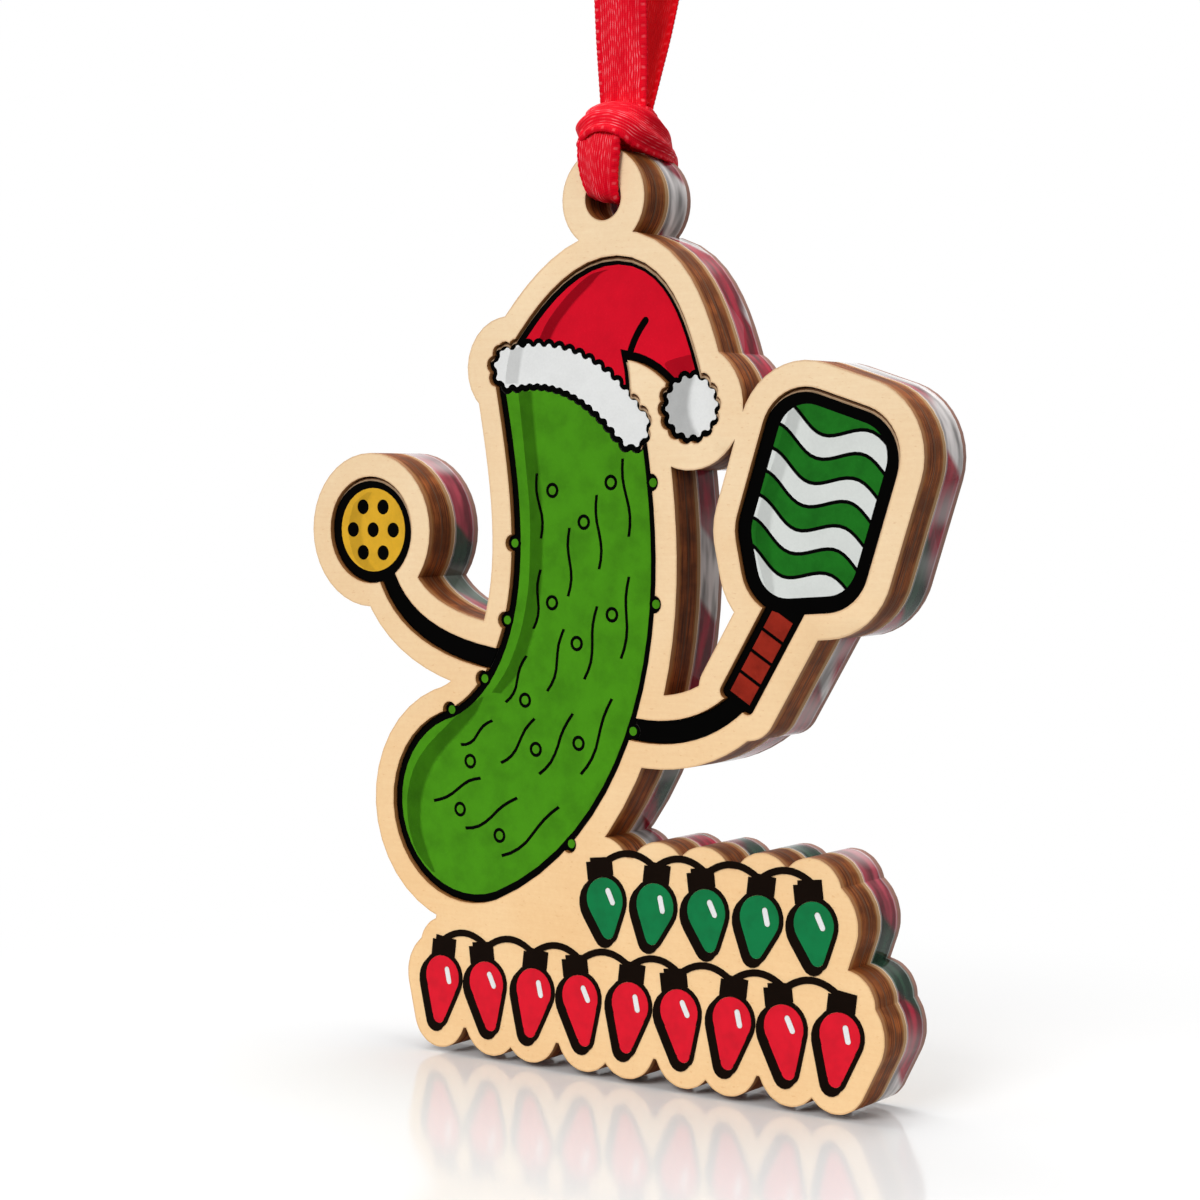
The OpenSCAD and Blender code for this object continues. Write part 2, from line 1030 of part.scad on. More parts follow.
// Hitch of the gathered ribbon: down the front, through the hole, up the back, with a bar over the ring
module ribbon_hitch() {
    rear_y = front_y + stack_t;
    depth = stack_t + 2 * hitch_gap + 2 * strap_t;
    bar_round = 1.4;
    bar_overhang = 1;
    bar_low = ring_r - bar_overhang;
    bar_top = ring_r + hitch_gap + bar_h;
    hole_turn_low = 0.3;
    strap_rise = 0.2;
    past = 1;
    color("crimson")
        translate([0, 0, ring_z]) {
            for (y = [front_y - hitch_gap - strap_t, rear_y + hitch_gap])
                intersection() {
                    translate([-strap_w / 2, y, hole_turn_low])
                        cube([strap_w, strap_t, ring_r + hitch_gap]);
                    translate([0, y - past, 0])
                        rotate([-90, 0, 0])
                            cylinder(r = ring_r + hitch_gap + strap_rise, h = strap_t + 2 * past);
                }
            intersection() {
                translate([-strap_w / 2, front_y - hitch_gap - strap_t / 2, hole_turn_low])
                    cube([strap_w, stack_t + 2 * hitch_gap + strap_t, hole_r]);
                translate([0, front_y - hitch_gap - strap_t, 0])
                    rotate([-90, 0, 0])
                        cylinder(r = hole_r - hitch_gap, h = depth);
            }
            difference() {
                hull()
                    for (x = [-1, 1], y = [-1, 1], z = [bar_low + bar_round, bar_top - bar_round])
                        translate([x * (bar_w / 2 - bar_round), hitch_y + y * (depth / 2 - bar_round), z])
                            sphere(bar_round, $fn = 32);
                translate([0, front_y - hitch_gap - 2 * strap_t, 0])
                    rotate([-90, 0, 0])
                        cylinder(r = ring_r + hitch_gap, h = depth + 2 * strap_t);
            }
        }
}

// Flat ribbon swept along its route, with chamfered edges
module ribbon_loop() {
    last = len(loop_route) - 1;
    chamfer = ribbon_t / 4;
    x = ribbon_w / 2;
    y = ribbon_t / 2;
    section = [
        [x, -y + chamfer], [x, y - chamfer], [x - chamfer, y], [-x + chamfer, y],
        [-x, y - chamfer], [-x, -y + chamfer], [-x + chamfer, -y], [x - chamfer, -y]
    ];
    sides = len(section);
    function route_heading(i) =
        i == 0 || i == last ? [0, i == 0 ? 1 : -1]
        : let (d = loop_route[i + 1] - loop_route[i - 1]) d / norm(d);
    function section_point(i, k) = let (at = loop_route[i] + section[k][1] * left_of(route_heading(i)))
        [section[k][0], at[0], at[1]];
    points = [for (i = [0:last], k = [0:sides - 1]) section_point(i, k)];
    walls = [
        for (i = [0:last - 1], k = [0:sides - 1], half = [0, 1])
            let (a = i * sides + k, b = i * sides + (k + 1) % sides)
            half == 0 ? [a, b, b + sides] : [a, b + sides, a + sides]
    ];
    start_cap = [for (k = [1:sides - 2]) [0, k + 1, k]];
    end_cap = [for (k = [1:sides - 2]) [last * sides, last * sides + k, last * sides + k + 1]];
    color("crimson")
        polyhedron(points, concat(walls, start_cap, end_cap));
}

face_veneer();
front_core_ply();
crossband_veneer();
rear_core_ply();
back_veneer();
adhesive_sheet();
acrylic_plate();
check_film();
rear_veneer();
hat_inlay();
gherkin_inlay();
ball_inlay();
paddle_inlay();
hat_red_ink();
hat_brim_ink();
hat_pompom_ink();
hat_black_ink();
gherkin_green_ink();
gherkin_black_ink();
gherkin_marks_ink();
ball_yellow_ink();
ball_black_ink();
paddle_green_ink();
paddle_white_ink();
paddle_grip_ink();
paddle_black_ink();
green_lights_ink();
red_lights_ink();
lights_glint_ink();
lights_black_ink();
ribbon_hitch();
ribbon_loop();
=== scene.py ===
"""Dressed model of a layered wood and acrylic hanging ornament, laid out as an add-on and run as a script.

The sheets, the inlays and the prints keep the shapes of the frame and get their finishes here. The
ribbon's loop and its hitch on the ring are woven bands that stand for the plain solids of the frame. Thin
layers on the inlays hold painted shadow along the openings' rims, and the browned kerf beside the prints,
which also holds painted shadow in its gap.
"""
import json
import math

import bpy
from bpy.props import FloatProperty, FloatVectorProperty, PointerProperty
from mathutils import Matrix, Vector


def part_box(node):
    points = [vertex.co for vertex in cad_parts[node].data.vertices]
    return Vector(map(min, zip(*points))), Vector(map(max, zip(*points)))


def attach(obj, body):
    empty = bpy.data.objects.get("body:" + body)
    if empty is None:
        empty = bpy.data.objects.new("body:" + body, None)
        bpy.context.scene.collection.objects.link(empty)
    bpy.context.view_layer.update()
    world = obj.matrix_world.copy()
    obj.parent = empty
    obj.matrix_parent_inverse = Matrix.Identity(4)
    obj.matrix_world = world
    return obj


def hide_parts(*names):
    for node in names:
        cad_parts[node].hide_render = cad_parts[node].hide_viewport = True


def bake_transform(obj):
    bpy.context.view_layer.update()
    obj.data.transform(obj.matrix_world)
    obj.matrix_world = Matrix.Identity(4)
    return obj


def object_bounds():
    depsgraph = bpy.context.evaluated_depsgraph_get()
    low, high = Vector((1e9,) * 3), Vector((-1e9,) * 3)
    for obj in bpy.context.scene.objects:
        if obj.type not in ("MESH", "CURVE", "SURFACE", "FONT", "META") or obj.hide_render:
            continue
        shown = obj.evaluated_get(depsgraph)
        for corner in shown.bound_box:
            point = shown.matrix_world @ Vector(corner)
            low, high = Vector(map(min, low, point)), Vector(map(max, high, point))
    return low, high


bl_info = {
    "name": "Layered Hanging Ornament",
    "version": (1, 0, 0),
    "blender": (4, 5, 0),
    "location": "3D View > Sidebar > Ornament",
    "description": "Dresses a layered wood and acrylic ornament with its ribbon, finishes and studio",
    "category": "Object",
}

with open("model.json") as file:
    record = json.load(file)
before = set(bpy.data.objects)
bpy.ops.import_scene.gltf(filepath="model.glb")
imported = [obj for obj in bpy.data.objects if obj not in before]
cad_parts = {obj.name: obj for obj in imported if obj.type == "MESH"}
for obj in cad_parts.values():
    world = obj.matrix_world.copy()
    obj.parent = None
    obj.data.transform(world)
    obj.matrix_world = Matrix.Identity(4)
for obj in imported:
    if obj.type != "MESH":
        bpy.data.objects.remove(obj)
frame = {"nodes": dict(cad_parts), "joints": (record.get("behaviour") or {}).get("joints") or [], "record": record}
CAD_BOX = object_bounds()
MM = 0.001

# Places that the frame gives: the ribbon's joint with the hitch and the middle of the ring
JOINTS = {joint["name"]: joint for joint in frame["joints"]}
RING_AT = Vector(JOINTS["ornament_swing"]["pos_m"])
LOOP_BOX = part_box("ribbon_loop")
PLY_MIDDLE = (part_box("front_core_ply")[0].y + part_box("rear_core_ply")[1].y) / 2
PLATE_MIDDLE = (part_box("acrylic_plate")[0].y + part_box("acrylic_plate")[1].y) / 2

# Middle line of the ribbon loop from its front strand over the top to its rear strand, as (y, z) in metres
LOOP_ROUTE = (
    (-0.0035, -0.0295), (-0.0036, -0.0265), (-0.0038, -0.023), (-0.004, -0.0195), (-0.0042, -0.016),
    (-0.0044, -0.0125), (-0.0046, -0.009), (-0.00475, -0.006), (-0.0044, -0.003), (-0.0033, -0.0011),
    (-0.0017, 0), (0, 0.0003), (0.0017, 0), (0.0033, -0.0011), (0.0044, -0.003), (0.0047, -0.0055),
    (0.0043, -0.0085), (0.0035, -0.012), (0.0024, -0.0155), (0.0012, -0.019), (0, -0.0225),
    (-0.0013, -0.026), (-0.0025, -0.0295),
)

# Distance within which the loose corners of a node's triangles are joined
WELD = 0.002 * MM
# Angles between faces above which an edge is rounded and a smooth wall is creased, and the faces of a round
ROUND_ANGLE = math.radians(50)
CREASE_ANGLE = math.radians(20)
ROUND_FACES = 2

# Width and height of the film's checks in millimetres, and the shift of their columns in checks
CHECK_SIZE = (10.0, 7.0)
CHECK_SHIFT = 1.7
# Half of the share of a colour turn in which one check passes into the next
CHECK_SOFT = 0.06
# How far the checks in the acrylic's edge lean for each millimetre of depth
CHECK_LEAN = 0.8

# Weave of the ribbon: lanes of floats in half its width, the turns of the floats and of the threads in
# radians for each millimetre along it, and the turns of the threads across half its width
LANES = 11
FLOAT_TURNS = 5.0
THREAD_TURNS = 36.0
THREAD_SLANT = 20.0
# What the ribbon's map adds to the place across it on its dull face
BACK_MARK = 10
# Columns across a ribbon as shares of its half width, closer together at the looped edges
COLUMNS = (-1, -0.97, -0.92, -0.86, -0.78, -0.6, -0.4, -0.2, 0, 0.2, 0.4, 0.6, 0.78, 0.86, 0.92, 0.97, 1)
# Share of the half width where the looped edge starts, and as shares how much it thickens, how much of that
# comes and goes with the loops, and how much it tapers at its end
RIM_FROM = 0.8
RIM_SWELL = 0.5
RIM_PULSE = 0.4
RIM_TAPER = 0.55
# Length along a ribbon in which its gathers wander across it by one radian
GATHER_DRIFT = 5 * MM


def slot_colour(slot):
    """Base colour that the record gives to a material slot."""
    for material in frame["record"]["materials"]:
        if material["slot"] == slot:
            return tuple(material["base_color"][:3])
    raise ValueError("the record has no slot " + slot)


def tinted(colour, tint):
    """A colour times a tint for each channel."""
    return tuple(channel * share for channel, share in zip(colour, tint))


def toned(colour, share):
    """A colour made darker or paler, with all its channels times a share."""
    return tuple(channel * share for channel in colour)


def length_property(name, description, millimetres):
    """A size in metres, given in millimetres."""
    return FloatProperty(name=name, description=description, default=millimetres * MM, unit="LENGTH")


def share_property(name, description, share):
    """A share from 0 to 1."""
    return FloatProperty(name=name, description=description, default=share, min=0, max=1, subtype="FACTOR")


def angle_property(name, description, degrees):
    """An angle in radians, given in degrees."""
    return FloatProperty(name=name, description=description, default=math.radians(degrees), subtype="ANGLE")


def power_property(name, description, watts):
    """The power of a lamp in watts."""
    return FloatProperty(name=name, description=description, default=watts, unit="POWER")


def colour_property(name, description, colour):
    """A linear colour."""
    return FloatVectorProperty(
        name=name, description=description, default=colour, min=0, max=1, subtype="COLOR"
    )


VENEER_PALE = tinted(slot_colour("pale_veneer"), (1.0, 1.05, 1.14))
# Painted shade: the veneer at the foot is darker and warmer than at the ring
VENEER_SHADED_FOOT = tinted(slot_colour("pale_veneer"), (1.0, 0.92, 0.80))


class RibbonSizes(bpy.types.PropertyGroup):
    """Sizes of the woven ribbon and of its hitch."""

    width: length_property("Width", "Width of the flat ribbon", (LOOP_BOX[1].x - LOOP_BOX[0].x) / MM)
    thickness: length_property("Thickness", "Thickness of the ribbon between its edges", 0.34)
    picot_pitch: length_property("Edge loop pitch", "Distance from one edge loop to the next", 1.0)
    picot_rise: length_property("Edge loop rise", "How far an edge loop stands out of the edge", 0.06)
    cup: length_property("Cup", "How far the edges of a strand curl towards its back", 0.22)
    gather_width: length_property("Gathered width", "Width of a strand where it enters the hitch", 5.2)


class FinishColours(bpy.types.PropertyGroup):
    """Colours of the woods, the film, the prints and the ribbon."""

    veneer: colour_property("Veneer", "Sanded face of the veneers at the ring", VENEER_PALE)
    # Painted shade: the veneer's face at the foot is darker and warmer
    veneer_shaded_foot: colour_property("Warm veneer", "Sanded face of the veneers at the foot", VENEER_SHADED_FOOT)
    scorch: colour_property("Scorch", "Amber rim where the cut browned the veneer", (0.44, 0.18, 0.05))
    core: colour_property("Core", "Browned edge of the core plies", (0.185, 0.052, 0.013))
    soot: colour_property("Soot", "Darkest streaks in the core plies' edge", (0.062, 0.016, 0.005))
    crossband_edge: colour_property("Crossband edge", "Cut edge of the crossband", (0.17, 0.08, 0.04))
    back_edge: colour_property("Back edge", "Cut edge of the plywood's back veneer", (0.62, 0.36, 0.17))
    rear_edge: colour_property("Rear edge", "Cut edge and rim of the rear veneer", (0.38, 0.19, 0.14))
    wall: colour_property("Wall", "Bare wood in the walls of the openings", (0.56, 0.37, 0.22))
    # The kerf colour is partly laser browning and partly painted shadow in the gap beside the inlays
    kerf: colour_property("Kerf", "Browned kerf beside the inlays", (0.17, 0.075, 0.03))
    adhesive: colour_property("Adhesive", "Clouds in the adhesive", (0.88, 0.74, 0.55))
    film_red: colour_property("Film red", "Red checks of the film", (0.42, 0.008, 0.035))
    film_green: colour_property("Film green", "Green checks of the film", (0.026, 0.072, 0.042))
    film_pink: colour_property("Film pink", "Pink checks of the film", (0.44, 0.055, 0.085))
    film_white: colour_property("Film white", "White checks of the film", (0.80, 0.76, 0.75))
    inlay: colour_property("Inlay", "Sides of the inlays", slot_colour("inlay_plastic"))
    inlay_soot: colour_property("Inlay soot", "Browned clouds on the inlays' sides", (0.06, 0.04, 0.03))
    # Black of the print on the inlays, also the colour of the painted shadow strips
    black: colour_property("Black", "Black print on the inlays", (0.0012, 0.0011, 0.001))
    wood_black: colour_property("Wood black", "Black print on the bare wood", (0.0065, 0.0032, 0.0018))
    white: colour_property("White", "White print", slot_colour("white_ink"))
    hat: colour_property("Hat red", "Red print of the hat", slot_colour("hat_red"))
    gherkin: colour_property("Gherkin green", "Green print of the gherkin", slot_colour("gherkin_green"))
    ball: colour_property("Ball yellow", "Yellow print of the ball", slot_colour("ball_yellow"))
    paddle: colour_property("Paddle green", "Green print of the paddle", slot_colour("paddle_green"))
    paddle_white: colour_property("Paddle white", "White waves of the paddle", (0.75, 0.78, 0.75))
    grip: colour_property("Grip brown", "Print of the paddle's grip", slot_colour("grip_brown"))
    green_light: colour_property("Green lights", "Print of the green lights", slot_colour("light_green"))
    red_light: colour_property("Red lights", "Print of the red lights", slot_colour("light_red"))
    ribbon: colour_property("Ribbon", "Red yarn of the ribbon", (0.90, 0.001, 0.017))
    ribbon_dull: colour_property("Ribbon back", "Dull face of the ribbon", (0.95, 0.0, 0.008))
    # Colour of the painted sheen on the ribbon's floats and edge loops
    ribbon_sheen: colour_property("Ribbon sheen", "Pale floats of the ribbon's weave", (1.0, 0.24, 0.27))


class StudioSetup(bpy.types.PropertyGroup):
    """Camera, floor and lights."""

    azimuth: angle_property("Azimuth", "Turn of the camera to the right of the ornament's front", 36)
    pitch: angle_property("Pitch", "How far the camera looks down", 2.81)
    distance: length_property("Distance", "Distance from the camera to the middle of the picture", 242)
    lens: FloatProperty(
        name="Lens", description="Focal length in millimetres", default=75.84, unit="CAMERA"
    )
    target: FloatVectorProperty(
        name="Target", description="Point in the middle of the picture",
        default=(-0.34 * MM, -6.9 * MM, -76.2 * MM), subtype="TRANSLATION",
    )
    floor_gap: length_property("Floor gap", "Distance from the ornament down to the floor", 0.5)
    floor_gloss: share_property("Floor gloss", "Share of the floor that mirrors", 0.20)
    floor_pale: share_property("Floor pale", "Tone of the floor as the camera sees it", 0.82)
    floor_bounce: share_property("Floor bounce", "Tone of the floor as it lights the ornament", 0.30)
    floor_fade: length_property("Floor fade", "Distance at which the floor is as white as the world", 120)
    key_power: power_property("Key", "Power of the key light", 2.05)
    fill_power: power_property("Fill", "Power of the fill light", 0.45)
    top_power: power_property("Top", "Power of the top light", 1.40)
    ambient: share_property("Ambient", "Strength of the light from all round", 0.45)


class Signal:
    """A shader socket in an expression. Its operators add Math nodes."""

    def __init__(self, paint, socket):
        self.paint = paint
        self.socket = socket

    def __add__(self, other):
        return self.paint.math("ADD", self, other)

    def __sub__(self, other):
        return self.paint.math("SUBTRACT", self, other)

    def __rsub__(self, other):
        return self.paint.math("SUBTRACT", other, self)

    def __mul__(self, other):
        return self.paint.math("MULTIPLY", self, other)

    def __truediv__(self, other):
        return self.paint.math("DIVIDE", self, other)

    def __gt__(self, other):
        return self.paint.math("GREATER_THAN", self, other)

    def __abs__(self):
        return self.paint.math("ABSOLUTE", self)

    __radd__ = __add__
    __rmul__ = __mul__


class Paint:
    """A material whose nodes are added by calls and by expressions on its signals."""

    def __init__(self, name, tree=None):
        if tree is None:
            self.material = bpy.data.materials.new(name)
            self.material.use_nodes = True
            tree = self.material.node_tree
        self.tree = tree
        self.tree.nodes.clear()

    def feed(self, socket, value):
        """Links a signal to a socket, or sets a number or a colour on it."""
        if isinstance(value, Signal):
            self.tree.links.new(value.socket, socket)
        elif hasattr(value, "__len__") and len(value) == 3 and socket.type == "RGBA":
            socket.default_value = (*value, 1)
        else:
            socket.default_value = value

    def node(self, kind, settings=None, inputs=None, output=0):
        """Adds a node with its settings and its sockets' values or links, and returns one output."""
        made = self.tree.nodes.new("ShaderNode" + kind)
        for key, value in (settings or {}).items():
            setattr(made, key, value)
        for key, value in (inputs or {}).items():
            self.feed(made.inputs[key], value)
        return Signal(self, made.outputs[output])

    def math(self, operation, *values):
        """A Math node on numbers and signals."""
        return self.node("Math", {"operation": operation}, dict(enumerate(values)))

    def sine(self, value):
        """The sine of an angle in radians."""
        return self.math("SINE", value)

    def smooth(self, value, low, high):
        """0 below low and 1 above high, with an easy way between them."""
        limits = {"Value": value, "From Min": low, "From Max": high}
        return self.node("MapRange", {"interpolation_type": "SMOOTHSTEP"}, limits)

    def plateau(self, value, rise, fall):
        """1 between a rise and a fall, each given by the values where it starts and ends, and 0 outside."""
        return self.smooth(value, *rise) * (1 - self.smooth(value, *fall))

    def stair(self, value):
        """Whole numbers, with an easy way to the next in the last third of each."""
        return self.math("FLOOR", value) + self.smooth(self.math("FRACT", value), 0.65, 1.0)

    def grey(self, tone):
        """A colour with one tone in all its channels."""
        return self.node("CombineColor", None, {0: tone, 1: tone, 2: tone})

    def mix(self, share, first, second, blend="MIX"):
        """Two colours mixed by a share from 0 to 1."""
        settings = {"data_type": "RGBA", "blend_type": blend}
        return self.node("Mix", settings, {0: share, 6: first, 7: second}, 2)

    def place(self, scale=(1, 1, 1)):
        """Object coordinates in millimetres, times a scale for each axis."""
        at = self.node("TexCoord", output="Object")
        factor = tuple(share / MM for share in scale)
        return self.node("VectorMath", {"operation": "MULTIPLY"}, {0: at, 1: factor})

    def rays(self, first, *others):
        """1 to rays of any of these kinds, and 0 to the rest."""
        path = self.tree.nodes.new("ShaderNodeLightPath")
        share = Signal(self, path.outputs["Is " + first + " Ray"])
        for kind in others:
            share = self.math("MAXIMUM", share, Signal(self, path.outputs["Is " + kind + " Ray"]))
        return share

    def seen(self):
        """1 to rays that show a thing to the camera, also in gloss and through glass, else 0."""
        return self.rays("Camera", "Glossy", "Transmission")

    def split(self, vector):
        """The three components of a vector."""
        parts = self.tree.nodes.new("ShaderNodeSeparateXYZ")
        self.feed(parts.inputs[0], vector)
        return [Signal(self, output) for output in parts.outputs]

    def noise(self, vector, detail, rough=0.5):
        """Soft noise from 0 to 1 with about one bump for each unit of the vector."""
        inputs = {"Vector": vector, "Scale": 1.0, "Detail": detail, "Roughness": rough}
        return self.node("TexNoise", None, inputs)

    def facing(self):
        """1 on the faces that look to the front or the rear, 0 on the cut edges."""
        normal = self.node("TexCoord", output="Normal")
        return abs(self.split(normal)[1])

    def brink(self, reach):
        """0 on a flat face, rising to 1 within a reach of its edges."""
        rounded = self.node("Bevel", {"samples": 8}, {"Radius": reach})
        flat = self.node("NewGeometry", output="True Normal")
        level = self.node("VectorMath", {"operation": "DOT_PRODUCT"}, {0: rounded, 1: flat}, "Value")
        return self.smooth(1 - level, 0.0, 0.10)

    def bump(self, height, distance, strength):
        """A normal that is roughened by a height."""
        inputs = {"Height": height, "Distance": distance, "Strength": strength}
        return self.node("Bump", None, inputs)

    def surface(self, **inputs):
        """Principled surface. An underscore in a name stands for a space."""
        sockets = {key.replace("_", " "): value for key, value in inputs.items()}
        return self.output(self.node("BsdfPrincipled", None, sockets))

    def output(self, shader):
        """Ends the material in a shader."""
        end = self.tree.nodes.new("ShaderNodeOutputMaterial")
        self.feed(end.inputs["Surface"], shader)
        return self.material


def veneer_finish(name, colours, edge, rim=0.0, shine=0.35, figure=1.0):
    """Sanded pale veneer with fine grain and flecks, and painted shade, darker and warmer, towards the foot.

    Its cut edges and a rim along them have the edge colour, and figure is how strongly the grain shows.
    """
    paint = Paint(name)
    blotch = paint.noise(paint.place((0.11, 0.11, 0.11)), 2.0)
    grain = paint.noise(paint.place((0.16, 1.0, 2.6)), 5.0, 0.6)
    fleck = paint.smooth(paint.noise(paint.place((1.5, 1.0, 4.2)), 2.0), 0.64, 0.74)
    pore = paint.noise(paint.place((1.9, 1.0, 2.4)), 4.0, 0.65)
    lines = (grain - 0.5) * 0.08 + (pore - 0.5) * 0.09
    tone = 0.965 + blotch * 0.09 + lines * figure - fleck * 0.08
    shade = paint.node("CombineColor", None, {0: tone, 1: tone * tone, 2: tone * tone * tone})
    # Painted shade, paler from 10 mm above the foot up to the ring, with the blotches shifting this by 20 mm
    up = paint.split(paint.place())[2]
    foot = CAD_BOX[0].z / MM + 10
    rise = paint.smooth(up + blotch * 20, foot, RING_AT.z / MM)
    ground = paint.mix(rise, colours.veneer_shaded_foot, colours.veneer)
    face = paint.mix(1.0, ground, shade, "MULTIPLY")
    if rim:
        face = paint.mix(paint.brink(rim) * (0.12 + blotch * 0.5), face, edge)
    streak = paint.noise(paint.place((0.3, 9.0, 0.3)), 4.0, 0.6)
    side = paint.mix(streak, edge, toned(edge, 0.55))
    front = paint.smooth(paint.facing(), 0.55, 0.98)
    return paint.surface(
        Base_Color=paint.mix(front, side, face),
        Roughness=0.5 + grain * 0.12,
        Specular_IOR_Level=shine,
        Normal=paint.bump(grain * 0.6 - fleck, 0.02 * MM, 0.4),
    )


def core_finish(colours):
    """Browned edge of the core plies: streaks along the edge, and amber towards the outer veneers."""
    paint = Paint("browned_core")
    streak = paint.noise(paint.place((0.12, 6.5, 0.12)), 5.0, 0.65)
    patch = paint.noise(paint.place((0.5, 0.3, 0.5)), 3.0)
    ground = paint.mix(paint.smooth(patch, 0.35, 0.75), colours.core, toned(colours.core, 2.3))
    streaked = paint.mix(paint.smooth(streak, 0.45, 0.62), ground, colours.soot)
    outward = abs(paint.split(paint.place())[1] - PLY_MIDDLE / MM)
    amber = paint.smooth(outward + (patch - 0.5) * 0.4, 1.05, 1.55)
    return paint.surface(
        Base_Color=paint.mix(amber * 0.7, streaked, colours.scorch),
        Roughness=0.40 + streak * 0.2,
        Specular_IOR_Level=0.05,
        Normal=paint.bump(streak, 0.06 * MM, 0.6),
    )


def film_checks(paint, colours, lean=0.0):
    """Colour of the film's plaid: soft checks in turn across and up, which lean with the depth."""
    cycle = (colours.film_red, colours.film_white, colours.film_red, colours.film_green, colours.film_pink)
    across, deep, up = paint.split(paint.place())
    column = paint.stair((across + deep * lean) / CHECK_SIZE[0] + CHECK_SHIFT)
    row = paint.stair((up + deep * lean) / CHECK_SIZE[1])
    # Whole turns keep the sum above 0, and half a step puts each check in the middle of its colour
    whole_turns = 40
    start = whole_turns + 0.5 / len(cycle)
    turn = paint.math("FRACT", (column + row) / len(cycle) + start)
    checks = cycle[0]
    for step, follower in enumerate(cycle[1:], 1):
        edge = step / len(cycle)
        checks = paint.mix(paint.smooth(turn, edge - CHECK_SOFT, edge + CHECK_SOFT), checks, follower)
    return checks


def clear_finish(colours):
    """Clear cast acrylic. Its cut edges also carry the colours of the film behind it, and painted highlights."""
    paint = Paint("clear_acrylic")
    clear = paint.node(
        "BsdfPrincipled", None,
        {"Base Color": (0.97, 0.98, 0.98), "Roughness": 0.06, "IOR": 1.49, "Transmission Weight": 1.0},
    )
    cloud = paint.noise(paint.place((0.20, 0.9, 0.20)), 1.5)
    outward = abs(paint.split(paint.place())[1] - PLATE_MIDDLE / MM)
    rim = paint.smooth(outward, 1.22, 1.36)
    # Painted highlights: soft pale patches on the cut edges
    painted_highlight = paint.smooth(paint.noise(paint.place((0.17, 0.05, 0.17)), 1.0), 0.50, 0.70)
    shade = paint.grey(0.30 + paint.smooth(cloud, 0.3, 0.7) * 0.85)
    checks = paint.mix(1.0, film_checks(paint, colours, CHECK_LEAN), shade, "MULTIPLY")
    coloured = paint.node(
        "BsdfPrincipled", None,
        {
            "Base Color": paint.mix(rim * 0.35 + painted_highlight * 0.5, checks, colours.film_white),
            "Roughness": 0.07 + cloud * 0.08,
            "Specular IOR Level": 0.07,
        },
    )
    edge = 1 - paint.smooth(paint.facing(), 0.5, 0.9)
    cut = paint.node("MixShader", None, {0: edge * 0.92, 1: clear, 2: coloured})
    lit = paint.rays("Shadow", "Diffuse")
    through = paint.node("BsdfTransparent")
    return paint.output(paint.node("MixShader", None, {0: lit, 1: cut, 2: through}))


def adhesive_finish(colours):
    """Clear adhesive, seen as the veneer that it sits on."""
    paint = Paint("clear_adhesive")
    cloud = paint.noise(paint.place((0.4, 0.4, 0.4)), 2.0)
    tint = paint.mix(cloud, colours.veneer, colours.adhesive)
    return paint.surface(Base_Color=tint, Roughness=0.25 + cloud * 0.1)


def film_finish(colours):
    """Printed film with red, white and green checks."""
    paint = Paint("checked_film")
    speck = paint.noise(paint.place((6, 6, 6)), 1.0)
    return paint.surface(Base_Color=film_checks(paint, colours), Roughness=0.3 + speck * 0.1)


def inlay_finish(colours):
    """White acrylic of the inlays, dark under the print on its face."""
    paint = Paint("inlay_plastic")
    cloud = paint.noise(paint.place((0.8, 0.8, 0.8)), 2.0)
    side = paint.mix(cloud, toned(colours.inlay, 0.12), colours.inlay_soot)
    front = paint.smooth(paint.facing(), 0.6, 0.9)
    return paint.surface(
        Base_Color=paint.mix(front, side, colours.black),
        Roughness=0.3 + cloud * 0.1,
        Specular_IOR_Level=0.1,
    )


def print_finish(name, colour, mottle, size, rough=0.22, shine=0.05):
    """Print with a soft mottle, whose patches are about size millimetres wide and up to mottle darker."""
    paint = Paint(name)
    share = 1 / size
    patch = paint.noise(paint.place((share, share, share)), 4.0, 0.6)
    grit = paint.noise(paint.place((5, 5, 5)), 2.0)
    shade = paint.grey(1 - paint.smooth(patch, 0.35, 0.75) * mottle + (grit - 0.5) * 0.10)
    return paint.surface(
        Base_Color=paint.mix(1.0, colour, shade, "MULTIPLY"),
        Roughness=rough + grit * 0.08,
        Specular_IOR_Level=shine,
        Normal=paint.bump(grit, 0.01 * MM, 0.3),
    )


def shade_finish(name, colours, dark):
    """Painted shadow: a thin dark film that lets the print through and fades to the right."""
    paint = Paint(name)
    cloud = paint.noise(paint.place((0.5, 0.5, 0.5)), 2.0)
    across = paint.split(paint.node("UVMap", {"uv_map": "shade"}))[0]
    fade = 1 - paint.smooth(across, 0.78, 1.0) * 0.85
    return paint.surface(
        Base_Color=colours.black,
        Roughness=0.5,
        Specular_IOR_Level=0.0,
        Alpha=(0.85 + cloud * 0.3) * dark * fade,
    )


